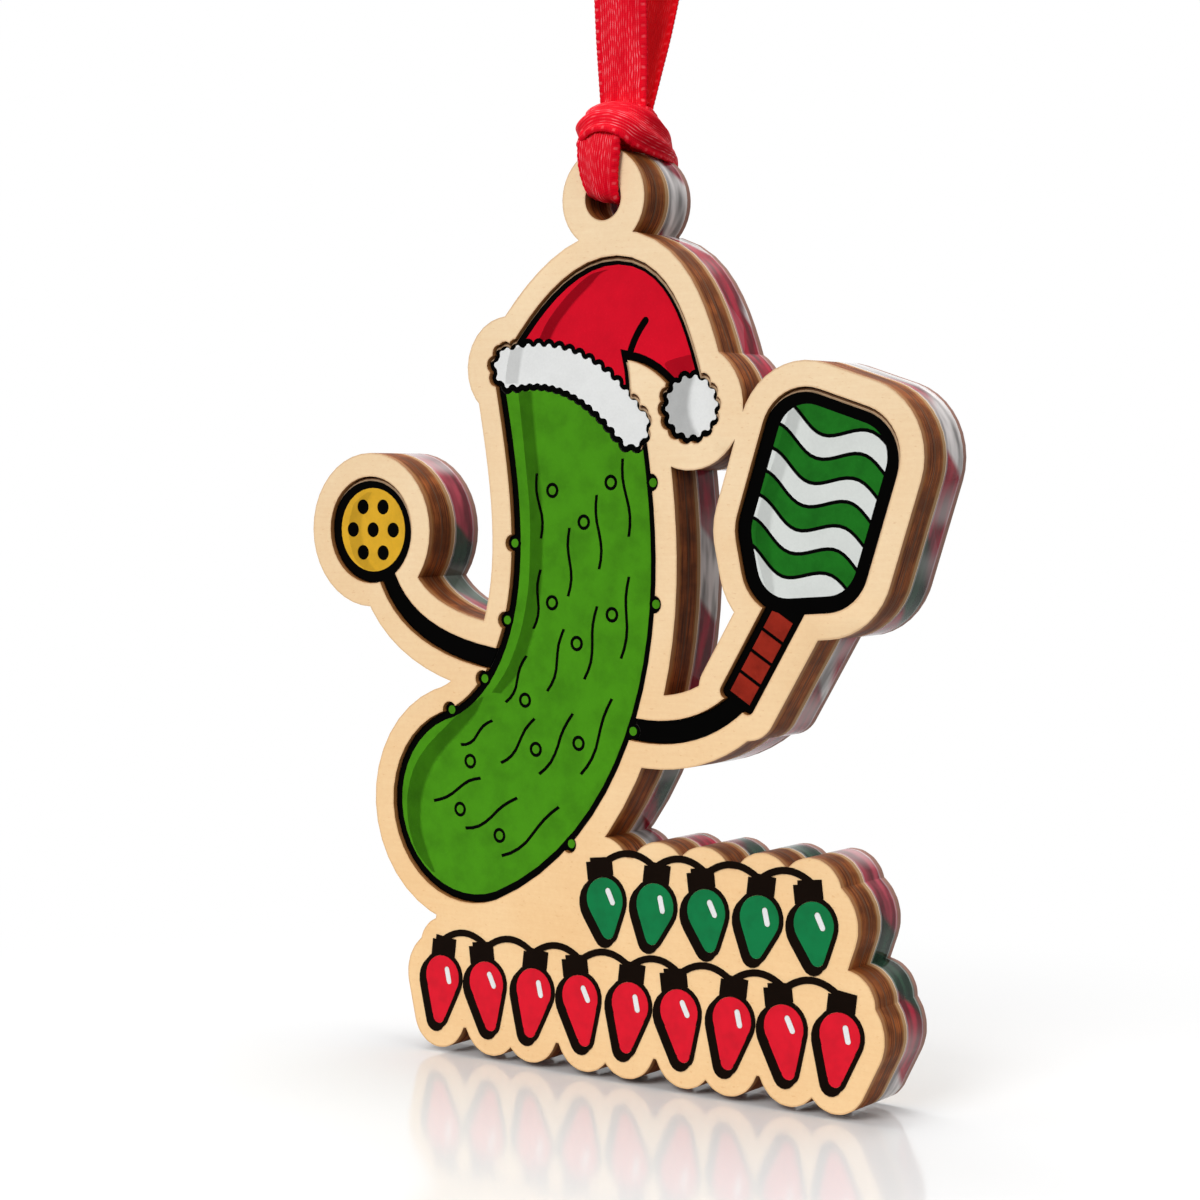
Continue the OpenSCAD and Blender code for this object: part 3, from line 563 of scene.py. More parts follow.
def ribbon_finish(colours, pitch):
    """Satin weave with looped edges: floats in wavy lanes with painted sheen where they catch the light, and
    painted shade in broad patches.
    """
    paint = Paint("red_satin")
    share, along, _ = paint.split(paint.node("UVMap", {"uv_map": "ribbon"}))
    dull = share > BACK_MARK / 2
    across = share - dull * BACK_MARK
    edge = abs(across)
    wander = paint.noise(paint.node("CombineXYZ", None, {0: across * 1.5, 1: along * 0.35}), 2.0)
    lane = across * LANES + wander * 2.2
    phase = paint.node("TexWhiteNoise", {"noise_dimensions": "1D"}, {"W": paint.math("FLOOR", lane)})
    column = paint.sine(lane * math.tau)
    dash = paint.sine(along * FLOAT_TURNS + phase * math.tau + wander * 8)
    yarn = paint.smooth(column, 0.0, 1.0) * (0.25 + paint.smooth(dash, -0.5, 0.9) * 0.75)
    patch = paint.noise(paint.node("CombineXYZ", None, {0: across * 1.6, 1: along * 0.16, 2: 3.0}), 2.0)
    seam = paint.plateau(edge, (0.60, 0.66), (0.72, 0.78))
    field = (1 - paint.smooth(edge, 0.76, 0.80)) * (paint.smooth(patch, 0.34, 0.64) * 0.75 + seam * 0.4)
    rim = paint.plateau(edge, (0.80, 0.88), (0.93, 0.99))
    bead = rim * paint.smooth(paint.sine(along * (math.tau * MM / pitch) + wander * 4), 0.5, 1.0)
    # Painted sheen: the floats, the seam and the edge loops turn pale where they would catch the light
    painted_sheen = (yarn * field + bead * paint.smooth(patch, 0.25, 0.6) * 0.6) * (1 - dull * 0.8)
    thread = paint.sine(along * THREAD_TURNS + across * THREAD_SLANT) * 0.5 + 0.5
    # Painted shade: broad patches darken the red, on top of the threads' own fine pattern
    depth = thread * 0.2 + (1 - paint.smooth(patch, 0.3, 0.6)) * 0.3
    face = paint.mix(dull, colours.ribbon, colours.ribbon_dull)
    deep = paint.mix(depth, face, toned(colours.ribbon, 0.5))
    return paint.surface(
        Base_Color=paint.mix(painted_sheen, deep, colours.ribbon_sheen),
        Roughness=0.55 - painted_sheen * 0.2,
        Specular_IOR_Level=0.06,
        Normal=paint.bump(column * 0.4 + dash * 0.3 + thread * 0.2, 0.03 * MM, 0.5),
    )


def satin(scene):
    """The ribbon's finish, made the first time that it is asked for."""
    made = bpy.data.materials.get("red_satin")
    return made or ribbon_finish(scene.ornament_colours, scene.ornament_ribbon.picot_pitch)


def deselect_all():
    """Leaves no object selected."""
    bpy.ops.object.select_all(action="DESELECT")


def make_active(piece):
    """Selects one object alone and makes it the active one."""
    deselect_all()
    piece.select_set(True)
    bpy.context.view_layer.objects.active = piece


def between(before, start, end, after, share):
    """Value at a share of the way from start to end, on a smooth curve that heeds the values beyond."""
    slope = (end - before) * share
    bend = (2 * before - 5 * start + 4 * end - after) * share ** 2
    twist = (3 * start - before - 3 * end + after) * share ** 3
    return 0.5 * (2 * start + slope + bend + twist)


def spline(stations, steps):
    """Rows of numbers on one smooth curve through the stations, with a number of steps between each two."""
    rows = []
    last = len(stations) - 1
    for i in range(last):
        near = [stations[min(max(i + k, 0), last)] for k in (-1, 0, 1, 2)]
        for step in range(steps):
            rows.append([between(*values, step / steps) for values in zip(*near)])
    rows.append(list(stations[-1]))
    return rows


def mesh_piece(name, verts, faces):
    """A new active object with its faces turned outwards."""
    mesh = bpy.data.meshes.new(name)
    mesh.from_pydata(verts, [], faces)
    mesh.validate()
    piece = bpy.data.objects.new(name, mesh)
    bpy.context.scene.collection.objects.link(piece)
    make_active(piece)
    bpy.ops.object.mode_set(mode="EDIT")
    bpy.ops.mesh.select_all(action="SELECT")
    bpy.ops.mesh.normals_make_consistent(inside=False)
    bpy.ops.object.mode_set(mode="OBJECT")
    return piece


def add_map(piece, name, places):
    """Gives a piece a map with a place for each of its vertices."""
    layer = piece.data.uv_layers.new(name=name)
    for corner in piece.data.loops:
        layer.data[corner.index].uv = places[corner.vertex_index]


def band_mesh(name, rows, sizes, shiny, folds=0.0, turns=0.0):
    """Closed ribbon through rows of (first edge x, y, z, second edge x, y, z, bulge), all in metres.

    The back lies to the left of a walk along the ribbon with the first edge below the second, and the bulge
    is how far the middle stands out to the back. Shiny is 1 where the back is the shiny face, or else -1.
    Folds is the height of the gathers, and turns is how many of them lie across the ribbon.
    """
    edges = [(Vector(row[:3]), Vector(row[3:6])) for row in rows]
    points = [(first + second) / 2 for first, second in edges]
    verts = []
    places = []
    along = 0.0
    for i, (first, second) in enumerate(edges):
        if i:
            along += (points[i] - points[i - 1]).length
        heading = points[min(i + 1, len(rows) - 1)] - points[max(i - 1, 0)]
        half = (second - first).length / 2
        side = (second - first).normalized()
        back = heading.cross(side).normalized()
        loop = math.sin(math.tau * along / sizes.picot_pitch)
        for face in (-1, 1):
            for share in COLUMNS if face < 0 else reversed(COLUMNS):
                rim = max(0.0, (abs(share) - RIM_FROM) / (1 - RIM_FROM))
                out = half * share + math.copysign(rim * sizes.picot_rise * loop, share)
                bead = 1 + RIM_SWELL * math.sin(math.pi * rim) * (1 - RIM_PULSE + RIM_PULSE * loop)
                thick = sizes.thickness * bead * (1 - RIM_TAPER * rim ** 4)
                gather = folds * math.sin(math.pi * turns * share + along / GATHER_DRIFT) * (1 - rim)
                lift = rows[i][6] * (1 - share * share) + gather + face * thick / 2
                verts.append(points[i] + side * out + back * lift)
                places.append((share + (0 if face == shiny else BACK_MARK), along / MM))
    ring = 2 * len(COLUMNS)
    faces = []
    for i in range(len(rows) - 1):
        for k in range(ring):
            a = i * ring + k
            b = i * ring + (k + 1) % ring
            faces.append((a, b, b + ring, a + ring))
    faces.append(tuple(reversed(range(ring))))
    faces.append(tuple(range((len(rows) - 1) * ring, len(rows) * ring)))
    piece = mesh_piece(name, verts, faces)
    add_map(piece, "ribbon", places)
    bpy.ops.object.shade_smooth()
    return piece


def dress(node, material, edge=0):
    """Gives a node its finish, joins its triangles, rounds its edges by a width and smooths its walls."""
    piece = frame["nodes"][node]
    piece.data.materials.clear()
    piece.data.materials.append(material)
    piece.data.polygons.foreach_set("use_smooth", [True] * len(piece.data.polygons))
    weld = piece.modifiers.new("weld", "WELD")
    weld.merge_threshold = WELD
    if edge:
        bevel = piece.modifiers.new("edges", "BEVEL")
        bevel.width = edge
        bevel.segments = ROUND_FACES
        bevel.limit_method = "ANGLE"
        bevel.angle_limit = ROUND_ANGLE
    split = piece.modifiers.new("creases", "EDGE_SPLIT")
    split.split_angle = CREASE_ANGLE


class ORNAMENT_OT_studio(bpy.types.Operator):
    """Add the camera, the pale floor, the lights and the white surroundings"""

    bl_idname = "ornament.studio"
    bl_label = "Studio"

    # Width of the camera's sensor in millimetres, and the nearest distance that it sees in metres
    SENSOR = 36
    NEAREST = 0.01
    # Place of each light from the target, as metres to the right of the view, ahead and up, and its size
    LIGHTS = {
        "key": ((-0.27, -0.40, 0.30), 0.30),
        "fill": ((0.38, -0.34, 0.18), 0.36),
        "top": ((0.0, 0.10, 0.44), 0.30),
    }
    # Side of the floor in metres
    FLOOR_SIZE = 3.0
    # Middle of the floor's grey part from the target, as metres to the right of the view and ahead
    GREY_AT = (-0.012, -0.025)
    # Share of the fade's distance at which the floor starts to turn white
    FADE_FROM = 0.35

    def execute(self, context):
        setup = context.scene.ornament_studio
        deselect_all()
        target = Vector(setup.target)
        right = Vector((math.cos(setup.azimuth), math.sin(setup.azimuth), 0))
        ahead = Vector((-math.sin(setup.azimuth), math.cos(setup.azimuth), 0))
        up = Vector((0, 0, 1))
        view = ahead * math.cos(setup.pitch) - up * math.sin(setup.pitch)
        self.add_camera(context, setup, target, view)
        self.add_floor(context, setup, target + right * self.GREY_AT[0] + ahead * self.GREY_AT[1])
        for name, (shift, size) in self.LIGHTS.items():
            place = target + right * shift[0] + ahead * shift[1] + up * shift[2]
            self.add_light(name, place, target, size, getattr(setup, name + "_power"))
        self.light_world(context, setup)
        context.scene.view_settings.view_transform = "Standard"
        return {"FINISHED"}

    def add_camera(self, context, setup, target, view):
        """A camera that looks along the view at the target."""
        turn = view.to_track_quat("-Z", "Y").to_euler()
        bpy.ops.object.camera_add(location=target - view * setup.distance, rotation=turn)
        camera = context.object
        camera.name = "studio_camera"
        camera.data.lens = setup.lens
        camera.data.sensor_width = self.SENSOR
        camera.data.clip_start = self.NEAREST
        context.scene.camera = camera

    def add_floor(self, context, setup, heart):
        """A wide floor that mirrors a little, keeps the shadow and turns white away from its heart."""
        level = CAD_BOX[0].z - setup.floor_gap
        bpy.ops.mesh.primitive_plane_add(size=self.FLOOR_SIZE, location=(0, 0, level))
        floor = context.object
        floor.name = "pale_floor"
        bpy.ops.object.transform_apply(location=True, rotation=True, scale=True)
        paint = Paint("pale_floor")
        fine = paint.noise(paint.place((0.02, 0.02, 0.02)), 2.0)
        seen = paint.seen()
        tone = paint.grey(setup.floor_bounce + seen * (setup.floor_pale - setup.floor_bounce))
        matt = paint.node("BsdfDiffuse", None, {"Color": tone})
        mirror = paint.node("BsdfGlossy", None, {"Color": (1, 1, 1), "Roughness": 0.10 + fine * 0.04})
        near = paint.node("MixShader", None, {0: setup.floor_gloss, 1: matt, 2: mirror})
        ends = {0: paint.place((1, 1, 0)), 1: (heart.x / MM, heart.y / MM, 0)}
        away = paint.node("VectorMath", {"operation": "DISTANCE"}, ends, "Value")
        fade = setup.floor_fade / MM
        far = paint.smooth(away, fade * self.FADE_FROM, fade)
        white = paint.node("Emission", None, {"Color": (1, 1, 1), "Strength": seen})
        shader = paint.node("MixShader", None, {0: far, 1: near, 2: white})
        floor.data.materials.append(paint.output(shader))

    def add_light(self, name, place, target, size, power):
        """A square soft light that looks at the target."""
        turn = (target - place).to_track_quat("-Z", "Y").to_euler()
        bpy.ops.object.light_add(type="AREA", location=place, rotation=turn)
        lamp = bpy.context.object
        lamp.name = name + "_light"
        lamp.data.size = size
        lamp.data.energy = power

    def light_world(self, context, setup):
        """White to the camera, to gloss and through glass, and plain soft light for the rest."""
        world = bpy.data.worlds.new("white_studio")
        world.use_nodes = True
        context.scene.world = world
        paint = Paint("white_studio", world.node_tree)
        strength = paint.seen() * (1 - setup.ambient) + setup.ambient
        sky = paint.node("Background", None, {"Color": (1, 1, 1), "Strength": strength})
        end = paint.tree.nodes.new("ShaderNodeOutputWorld")
        paint.feed(end.inputs["Surface"], sky)


class ORNAMENT_OT_ribbon_loop(bpy.types.Operator):
    """Weave the ribbon's two strands and the loop that they hang from"""

    bl_idname = "ornament.ribbon_loop"
    bl_label = "Ribbon Loop"

    # Heights below which the strands narrow and twist, in metres
    GATHER_FROM = -0.018
    TWIST_FROM = -0.010
    # Rows from one point of the route to the next, and from one point of the path along the loop's middle to the
    # next
    ROUTE_ROWS = 28
    PATH_ROWS = 4

    def width_at(self, height, sizes):
        """Width of a strand, which narrows towards the hitch."""
        low = LOOP_ROUTE[0][1]
        share = min(1.0, max(0.0, (self.GATHER_FROM - height) / (self.GATHER_FROM - low)))
        return sizes.width + (sizes.gather_width - sizes.width) * share * share

    def execute(self, context):
        sizes = context.scene.ornament_ribbon
        stations = []
        for y, z in LOOP_ROUTE:
            half = self.width_at(z, sizes) / 2
            stations.append((-half, y, z, half, y, z, -sizes.cup))
        rows = spline(stations, self.ROUTE_ROWS)
        path = [(0, row[1], row[2]) for row in rows]
        piece = band_mesh("woven_ribbon_loop", rows, sizes, -1)
        piece.data.materials.append(satin(context.scene))
        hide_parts("ribbon_loop")
        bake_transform(piece)
        path[::self.PATH_ROWS] + [path[-1]]
        return {"FINISHED"}


class ORNAMENT_OT_ribbon_hitch(bpy.types.Operator):
    """Tie the ribbon through the ring: a strap through the hole and a collar round the strands"""

    bl_idname = "ornament.ribbon_hitch"
    bl_label = "Ribbon Hitch"

    # Stations from the middle of the ring in millimetres: two edges, and how far the band bulges out
    STRAP = (
        (-2.5, -0.2, 9.2, 2.3, -0.2, 9.2, 0.0),
        (-2.5, -1.6, 8.2, 2.4, -1.5, 8.2, 0.2),
        (-2.4, -3.5, 7.0, 2.5, -3.4, 7.0, 0.4),
        (-2.4, -4.5, 5.7, 2.4, -4.4, 5.7, 0.5),
        (-2.5, -4.5, 4.2, 2.3, -4.4, 4.2, 0.8),
        (-2.4, -4.4, 2.9, 2.1, -4.4, 2.7, 0.8),
        (-2.1, -4.3, 1.7, 2.0, -4.3, 1.2, 0.7),
        (-1.8, -4.1, 0.9, 1.9, -4.1, 0.2, 0.5),
        (-1.7, -3.3, 0.4, 1.8, -3.3, -0.3, 0.2),
        (-1.65, -2.0, 0.2, 1.7, -2.0, -0.3, 0.0),
        (-1.6, 0.0, 0.1, 1.6, 0.0, -0.1, 0.0),
        (-1.6, 3.0, 0.2, 1.6, 3.0, 0.2, 0.0),
        (-1.7, 4.2, 0.7, 1.7, 4.2, 0.7, 0.1),
        (-1.8, 4.5, 2.2, 1.8, 4.5, 2.2, 0.2),
        (-1.9, 4.5, 3.9, 1.9, 4.5, 3.9, 0.2),
        (-2.1, 4.2, 5.2, 2.1, 4.2, 5.2, 0.2),
        (-2.3, 3.0, 6.6, 2.3, 3.0, 6.6, 0.2),
        (-2.4, 1.5, 7.9, 2.4, 1.5, 7.9, 0.1),
        (-2.4, 0.3, 9.2, 2.4, 0.3, 9.2, 0.0),
    )
    COLLAR = (
        (-1.2, 3.6, -0.6, -0.2, 3.6, -0.7, 0.0),
        (-1.7, 4.7, 0.1, -0.2, 4.7, 0.0, 0.1),
        (-2.0, 5.1, 1.6, -0.3, 5.2, 1.6, 0.2),
        (-2.4, 5.1, 3.1, -0.5, 5.3, 3.4, 0.2),
        (-2.9, 4.5, 4.2, -0.9, 4.9, 5.4, 0.3),
        (-3.3, 2.2, 4.5, -2.0, 2.8, 7.6, 0.5),
        (-3.3, -0.8, 4.6, -2.9, 0.7, 8.7, 0.6),
        (-3.0, -3.2, 4.7, -3.0, -0.6, 8.9, 0.7),
        (-2.1, -4.7, 5.1, -2.5, -1.1, 8.95, 0.8),
        (-0.6, -5.3, 5.9, -1.2, -1.3, 9.0, 0.9),
        (1.0, -5.3, 6.1, 0.4, -1.3, 9.0, 0.9),
        (2.4, -4.7, 5.6, 1.8, -1.2, 8.95, 0.9),
        (3.0, -3.3, 4.7, 2.6, -0.8, 8.8, 0.9),
        (3.3, -1.0, 4.2, 2.9, 0.1, 8.5, 0.7),
        (3.3, 1.6, 3.9, 2.6, 1.6, 7.6, 0.5),
        (2.6, 4.3, 3.7, 1.5, 3.8, 6.2, 0.3),
        (2.3, 5.1, 2.6, 0.5, 5.2, 4.4, 0.2),
        (1.9, 5.1, 1.3, 0.3, 5.2, 1.6, 0.2),
        (1.6, 4.7, 0.1, 0.2, 4.7, 0.0, 0.1),
        (1.2, 3.6, -0.6, 0.2, 3.6, -0.7, 0.0),
    )
    # Rows from one station to the next
    STATION_ROWS = 24
    # Height of each band's gathers in millimetres, and how many of them lie across it
    STRAP_GATHERS = (0.14, 2.2)
    COLLAR_GATHERS = (0.26, 2.3)

    def band(self, name, stations, gathers, sizes):
        """A gathered band through stations that are given from the middle of the ring."""
        placed = []
        for row in stations:
            first = RING_AT + Vector(row[:3]) * MM
            second = RING_AT + Vector(row[3:6]) * MM
            placed.append((*first, *second, row[6] * MM))
        folds, turns = gathers
        return band_mesh(name, spline(placed, self.STATION_ROWS), sizes, 1, folds * MM, turns)

    def execute(self, context):
        sizes = context.scene.ornament_ribbon
        strap = self.band("woven_strap", self.STRAP, self.STRAP_GATHERS, sizes)
        collar = self.band("woven_collar", self.COLLAR, self.COLLAR_GATHERS, sizes)
        for piece in (strap, collar):
            piece.data.materials.append(satin(context.scene))
            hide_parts("ribbon_hitch")
            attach(piece, "hitch")
        return {"FINISHED"}


class ORNAMENT_OT_sheets(bpy.types.Operator):
    """Finish the plywood, the adhesive, the clear plate, the checked film and the rear veneer"""

    bl_idname = "ornament.sheets"
    bl_label = "Sheets"

    # Widths of the rounded edges and of the browned rims on the outer veneers, in millimetres
    FACE_EDGE = 0.09
    REAR_EDGE = 0.06
    RIM = 0.4
    # How strongly the grain shows on the rear veneer
    REAR_FIGURE = 2.6
    # How far the clear plate swells on every side in millimetres, so that it shares no face with others
    SWELL = 0.01

    def execute(self, context):
        colours = context.scene.ornament_colours
        rim = self.RIM * MM
        core = core_finish(colours)
        face = veneer_finish("face_veneer", colours, colours.scorch, rim)
        crossband = veneer_finish("crossband_veneer", colours, colours.crossband_edge, shine=0.08)
        back = veneer_finish("back_veneer", colours, colours.back_edge, shine=0.12)
        rear = veneer_finish("rear_veneer", colours, colours.rear_edge, rim, figure=self.REAR_FIGURE)
        dress("face_veneer", face, self.FACE_EDGE * MM)
        dress("front_core_ply", core)
        dress("crossband_veneer", crossband)
        dress("rear_core_ply", core)
        dress("back_veneer", back)
        dress("adhesive_sheet", adhesive_finish(colours))
        dress("acrylic_plate", clear_finish(colours))
        dress("check_film", film_finish(colours))
        dress("rear_veneer", rear, self.REAR_EDGE * MM)
        swell = frame["nodes"]["acrylic_plate"].modifiers.new("swell", "DISPLACE")
        swell.strength = self.SWELL * MM
        swell.mid_level = 0
        return {"FINISHED"}


class ORNAMENT_OT_prints(bpy.types.Operator):
    """Finish the inlays and the prints on them and on the bare wood"""

    bl_idname = "ornament.prints"
    bl_label = "Inlays and Prints"

    INLAYS = ("hat_inlay", "gherkin_inlay", "ball_inlay", "paddle_inlay")
    # Colour of each finish, how dark its mottle is, the size of a patch in millimetres, and its roughness
    # and shine where they aren't the usual ones
    FINISHES = {
        "gloss_black": ("black", 0.2, 2.5, 0.3, 0.01),
        "gloss_white": ("white", 0.06, 4.0),
        "hat_red": ("hat", 0.12, 5.0),
        "gherkin_green": ("gherkin", 0.26, 3.0),
        "ball_yellow": ("ball", 0.15, 2.0),
        "paddle_green": ("paddle", 0.28, 2.2),
        "paddle_white": ("paddle_white", 0.06, 4.0),
        "grip_brown": ("grip", 0.3, 1.5),
        "light_green": ("green_light", 0.2, 1.6, 0.45, 0.15),
        "light_red": ("red_light", 0.15, 1.6, 0.45, 0.15),
        "light_glint": ("white", 0.08, 1.6, 0.45, 0.15),
        "flat_black": ("wood_black", 0.2, 1.6, 0.5, 0.02),
    }
    # Finish of each print
    PRINTS = {
        "hat_red_ink": "hat_red",
        "hat_brim_ink": "gloss_white",
        "hat_pompom_ink": "gloss_white",
        "hat_black_ink": "gloss_black",
        "gherkin_green_ink": "gherkin_green",
        "gherkin_black_ink": "gloss_black",
        "gherkin_marks_ink": "gloss_black",
        "ball_yellow_ink": "ball_yellow",
        "ball_black_ink": "gloss_black",
        "paddle_green_ink": "paddle_green",
        "paddle_white_ink": "paddle_white",
        "paddle_grip_ink": "grip_brown",
        "paddle_black_ink": "gloss_black",
        "green_lights_ink": "light_green",
        "red_lights_ink": "light_red",
        "lights_glint_ink": "light_glint",
        "lights_black_ink": "flat_black",
    }

    def execute(self, context):
        colours = context.scene.ornament_colours
        inlay = inlay_finish(colours)
        for node in self.INLAYS:
            dress(node, inlay)
        made = {}
        for name, (colour, *settings) in self.FINISHES.items():
            made[name] = print_finish(name, getattr(colours, colour), *settings)
        for node, finish in self.PRINTS.items():
            dress(node, made[finish])
        return {"FINISHED"}


class ORNAMENT_OT_shades(bpy.types.Operator):
    """Lay the soft dark strips of painted shadow that the rims of the openings cast on the left of the prints"""

    bl_idname = "ornament.shades"
    bl_label = "Shade Strips"

    # Strength of the dark, and stations of (left x, right x, z) in millimetres from the top down
    STRIPS = {
        "gherkin_shade": (0.28, (
            (-10.5, -8.7, -56.1), (-10.0, -8.3, -60), (-9.5, -7.8, -64), (-9.1, -7.4, -68),
            (-9.1, -7.4, -72), (-9.4, -7.7, -76), (-10.4, -8.7, -80), (-12.0, -10.2, -83.4),
            (-13.9, -12.6, -85.8),
        )),
        "gherkin_low_shade": (0.28, (
            (-15.2, -14.9, -86.3), (-17.9, -15.8, -88), (-20.4, -17.8, -90), (-22.6, -20.0, -92),
            (-24.1, -21.7, -94.2), (-24.9, -22.8, -97), (-24.7, -22.9, -100), (-23.6, -22.0, -102.6),
            (-21.6, -21.2, -104.4),
        )),
        "hat_shade": (0.34, (
            (0.2, 0.45, -44.75), (-1.7, -0.5, -45.1), (-3.5, -1.7, -46.2), (-5.0, -3.2, -47.4),
            (-6.2, -4.5, -48.6), (-7.2, -5.6, -49.8), (-8.0, -6.5, -51.2),
        )),
        "tip_shade": (0.22, (
            (9.5, 10.3, -53.1), (7.0, 10.5, -53.7), (7.3, 10.3, -54.6), (7.2, 8.4, -55.3),
        )),
        "brim_shade": (0.13, ((-11.4, -9.7, -51.8), (-11.9, -10.1, -53.6), (-12.1, -10.4, -55.3))),
        "pompom_shade": (0.24, (
            (8.6, 10.4, -55.0), (7.3, 10.1, -56.1), (6.8, 9.9, -57.2), (6.75, 9.9, -58.2),
            (7.0, 10.2, -59.3), (7.7, 10.7, -60.3), (8.7, 11.0, -60.8),
        )),
        "ball_shade": (0.13, (
            (-30.1, -29.4, -66.0), (-31.8, -30.1, -67.1), (-32.4, -30.6, -68.4), (-32.7, -30.8, -69.9),
            (-32.5, -30.6, -71.2), (-31.8, -29.9, -72.9), (-30.4, -28.9, -74.0),
        )),
        "paddle_shade": (0.12, (
            (20.6, 22.2, -58.3), (18.7, 20.4, -63.6), (17.2, 18.9, -68), (17.2, 18.8, -71.5),
            (18.4, 19.2, -75.4),
        )),
    }
    # Rows from one station to the next
    STATION_ROWS = 6
    # How far a strip stands out of the print, in millimetres
    STANDS = 0.015

    def strip(self, name, rows, front, inside):
        """A thin strip through rows of (left, right, up) in millimetres, from its front into the print."""
        verts = []
        for left, right, up in rows:
            for y in (front, inside):
                verts.append((left * MM, y, up * MM))
                verts.append((right * MM, y, up * MM))
        faces = []
        for i in range(len(rows) - 1):
            a = 4 * i
            for b, c in ((0, 1), (1, 3), (3, 2), (2, 0)):
                faces.append((a + b, a + c, a + c + 4, a + b + 4))
        last = 4 * (len(rows) - 1)
        faces.append((0, 1, 3, 2))
        faces.append((last, last + 2, last + 3, last + 1))
        piece = mesh_piece(name, verts, faces)
        add_map(piece, "shade", [(i % 2, 0) for i in range(len(verts))])
        return piece

    def execute(self, context):
        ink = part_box("gherkin_green_ink")
        front = ink[0].y - self.STANDS * MM
        inside = (ink[0].y + ink[1].y) / 2
        for name, (dark, stations) in self.STRIPS.items():
            piece = self.strip(name, spline(stations, self.STATION_ROWS), front, inside)
            piece.data.materials.append(shade_finish(name, context.scene.ornament_colours, dark))
            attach(piece, "ornament")
        return {"FINISHED"}


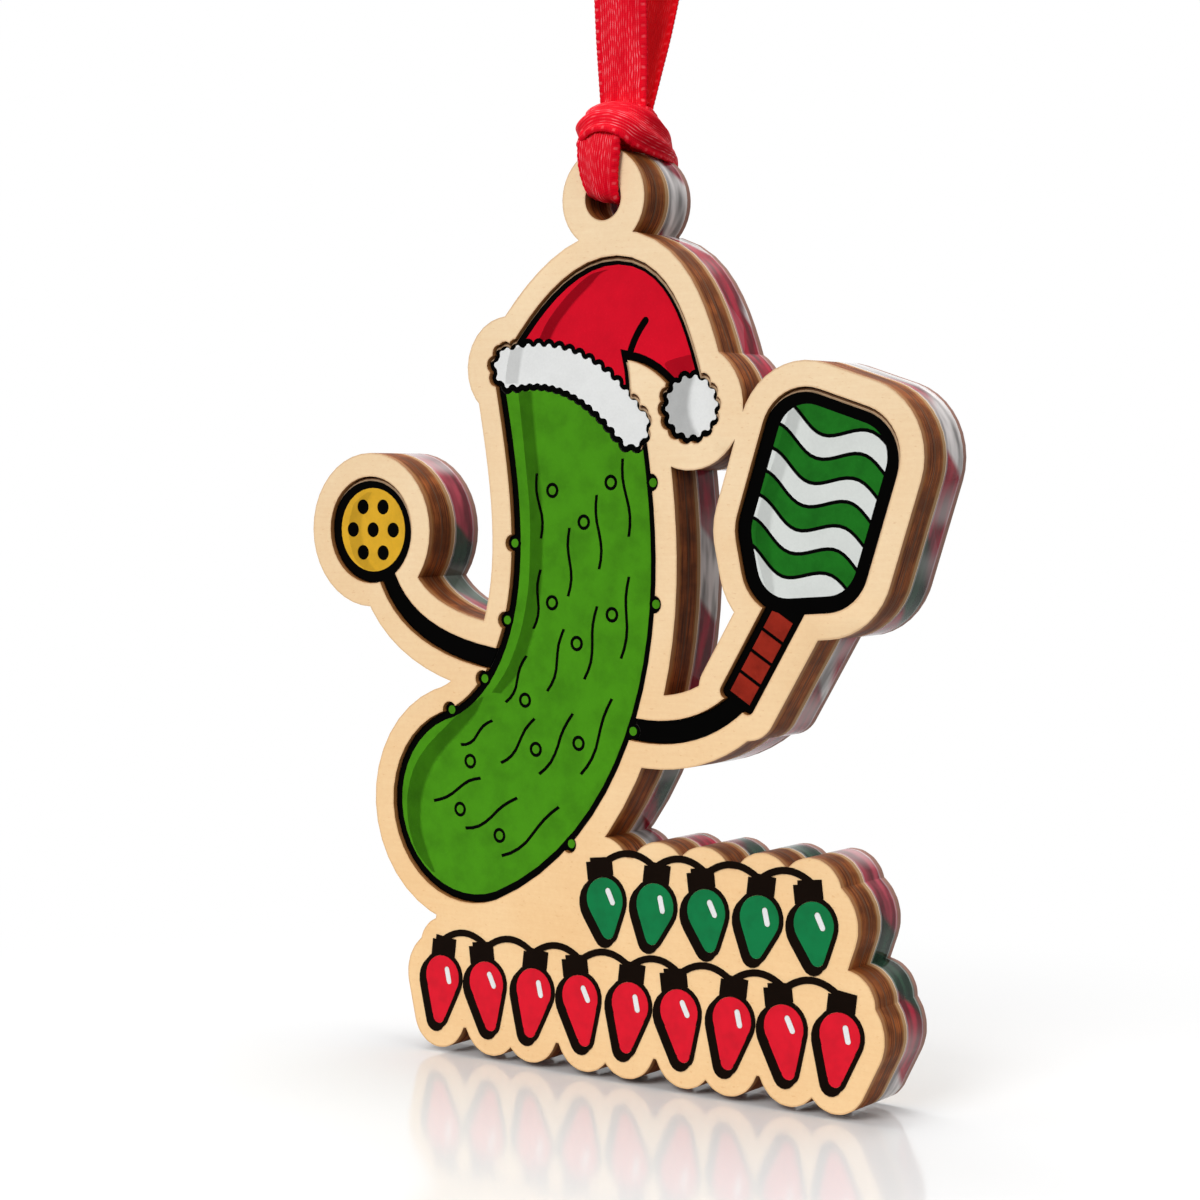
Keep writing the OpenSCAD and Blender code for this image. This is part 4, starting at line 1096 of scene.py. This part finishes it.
class ORNAMENT_OT_kerfs(bpy.types.Operator):
    """Lay the kerf lines, browned and in painted shadow, and the strips of bare wall above and to the right of the
    inlays
    """

    bl_idname = "ornament.kerfs"
    bl_label = "Kerf Lines"

    # Inlays with the height in millimetres down to which their kerf shows
    LOWEST = {"hat": -62.0, "ball": -71.0, "paddle": -75.0}
    # Slot of each layer, and in millimetres how wide it is beside and above an inlay, and how far before
    # the print it lies
    LAYERS = {"wall": ("pale_veneer", 0.24, 0.34, 0.010), "kerf": ("dark_core", 0.11, 0.16, 0.018)}
    # Thickness of a layer in millimetres
    DEPTH = 0.06
    # Mottle, size of its patches in millimetres, roughness and shine of both layers
    FINISH = (0.3, 1.5, 0.4, 0.1)

    def copy_node(self, name, node):
        """An active copy of a node with its loose triangles joined, in edit mode and all selected."""
        piece = bpy.data.objects.new(name, frame["nodes"][node].data.copy())
        piece.data.materials.clear()
        bpy.context.scene.collection.objects.link(piece)
        make_active(piece)
        bpy.ops.object.mode_set(mode="EDIT")
        bpy.ops.mesh.select_all(action="SELECT")
        bpy.ops.mesh.remove_doubles(threshold=WELD)
        return piece

    def rim(self, name, node, left, down, lowest, front):
        """The part of an inlay that a copy moved to the left and down leaves bare, as a thin layer."""
        low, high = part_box(node)
        middle = (0, (low.y + high.y) / 2, 0)
        thinner = self.DEPTH * MM / (high.y - low.y)
        # The cutter is twice as deep as the inlay, so it cuts right through
        cutter = self.copy_node(name + "_cutter", node)
        bpy.ops.transform.translate(value=(-left * MM, 0, -down * MM))
        bpy.ops.transform.resize(value=(1, 2, 1), center_override=middle)
        bpy.ops.object.mode_set(mode="OBJECT")
        piece = self.copy_node(name, node)
        bpy.ops.object.mode_set(mode="OBJECT")
        cut = piece.modifiers.new("cut", "BOOLEAN")
        cut.operation = "DIFFERENCE"
        cut.object = cutter
        bpy.ops.object.modifier_apply(modifier=cut.name)
        bpy.data.objects.remove(cutter)
        bpy.ops.object.mode_set(mode="EDIT")
        bpy.ops.mesh.select_all(action="SELECT")
        bpy.ops.mesh.bisect(
            plane_co=(0, 0, lowest * MM), plane_no=(0, 0, 1), use_fill=True, clear_inner=True
        )
        bpy.ops.mesh.select_all(action="SELECT")
        bpy.ops.transform.resize(value=(1, thinner, 1), center_override=(0, low.y, 0))
        bpy.ops.transform.translate(value=(0, front - low.y, 0))
        bpy.ops.mesh.normals_make_consistent(inside=False)
        bpy.ops.object.mode_set(mode="OBJECT")
        return piece

    def execute(self, context):
        colours = context.scene.ornament_colours
        finishes = {
            "wall": print_finish("kerf_wall", colours.wall, *self.FINISH),
            # The kerf layer is browned wood and painted shadow in the gap
            "kerf": print_finish("kerf_brown", colours.kerf, *self.FINISH),
        }
        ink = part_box("ball_black_ink")[0].y
        for motif, lowest in self.LOWEST.items():
            for layer, (slot, left, down, before) in self.LAYERS.items():
                name = motif + "_" + layer
                piece = self.rim(name, motif + "_inlay", left, down, lowest, ink - before * MM)
                piece.data.materials.append(finishes[layer])
                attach(piece, "ornament")
        return {"FINISHED"}


class ORNAMENT_PT_sidebar(bpy.types.Panel):
    """Lists the steps that dress the ornament and the values that they use"""

    bl_idname = "ORNAMENT_PT_sidebar"
    bl_label = "Layered Ornament"
    bl_space_type = "VIEW_3D"
    bl_region_type = "UI"
    bl_category = "Ornament"

    def draw(self, context):
        column = self.layout.column()
        for step in STEPS:
            column.operator(step.bl_idname)
        for name in GROUPS:
            group = getattr(context.scene, name)
            for key in group.__annotations__:
                column.prop(group, key)


STEPS = (
    ORNAMENT_OT_studio,
    ORNAMENT_OT_ribbon_loop,
    ORNAMENT_OT_ribbon_hitch,
    ORNAMENT_OT_sheets,
    ORNAMENT_OT_prints,
    ORNAMENT_OT_shades,
    ORNAMENT_OT_kerfs,
)
GROUPS = {"ornament_ribbon": RibbonSizes, "ornament_colours": FinishColours, "ornament_studio": StudioSetup}


def register():
    for group in GROUPS.values():
        bpy.utils.register_class(group)
    for name, group in GROUPS.items():
        setattr(bpy.types.Scene, name, PointerProperty(type=group))
    for step in STEPS:
        bpy.utils.register_class(step)
    bpy.utils.register_class(ORNAMENT_PT_sidebar)


def unregister():
    bpy.utils.unregister_class(ORNAMENT_PT_sidebar)
    for step in reversed(STEPS):
        bpy.utils.unregister_class(step)
    for name, group in GROUPS.items():
        delattr(bpy.types.Scene, name)
        bpy.utils.unregister_class(group)


def main():
    """Dresses the ornament in order."""
    register()
    bpy.ops.ornament.studio()
    bpy.ops.ornament.ribbon_loop()
    bpy.ops.ornament.ribbon_hitch()
    bpy.ops.ornament.sheets()
    bpy.ops.ornament.prints()
    bpy.ops.ornament.shades()
    bpy.ops.ornament.kerfs()


if __name__ == "__main__":
    main()
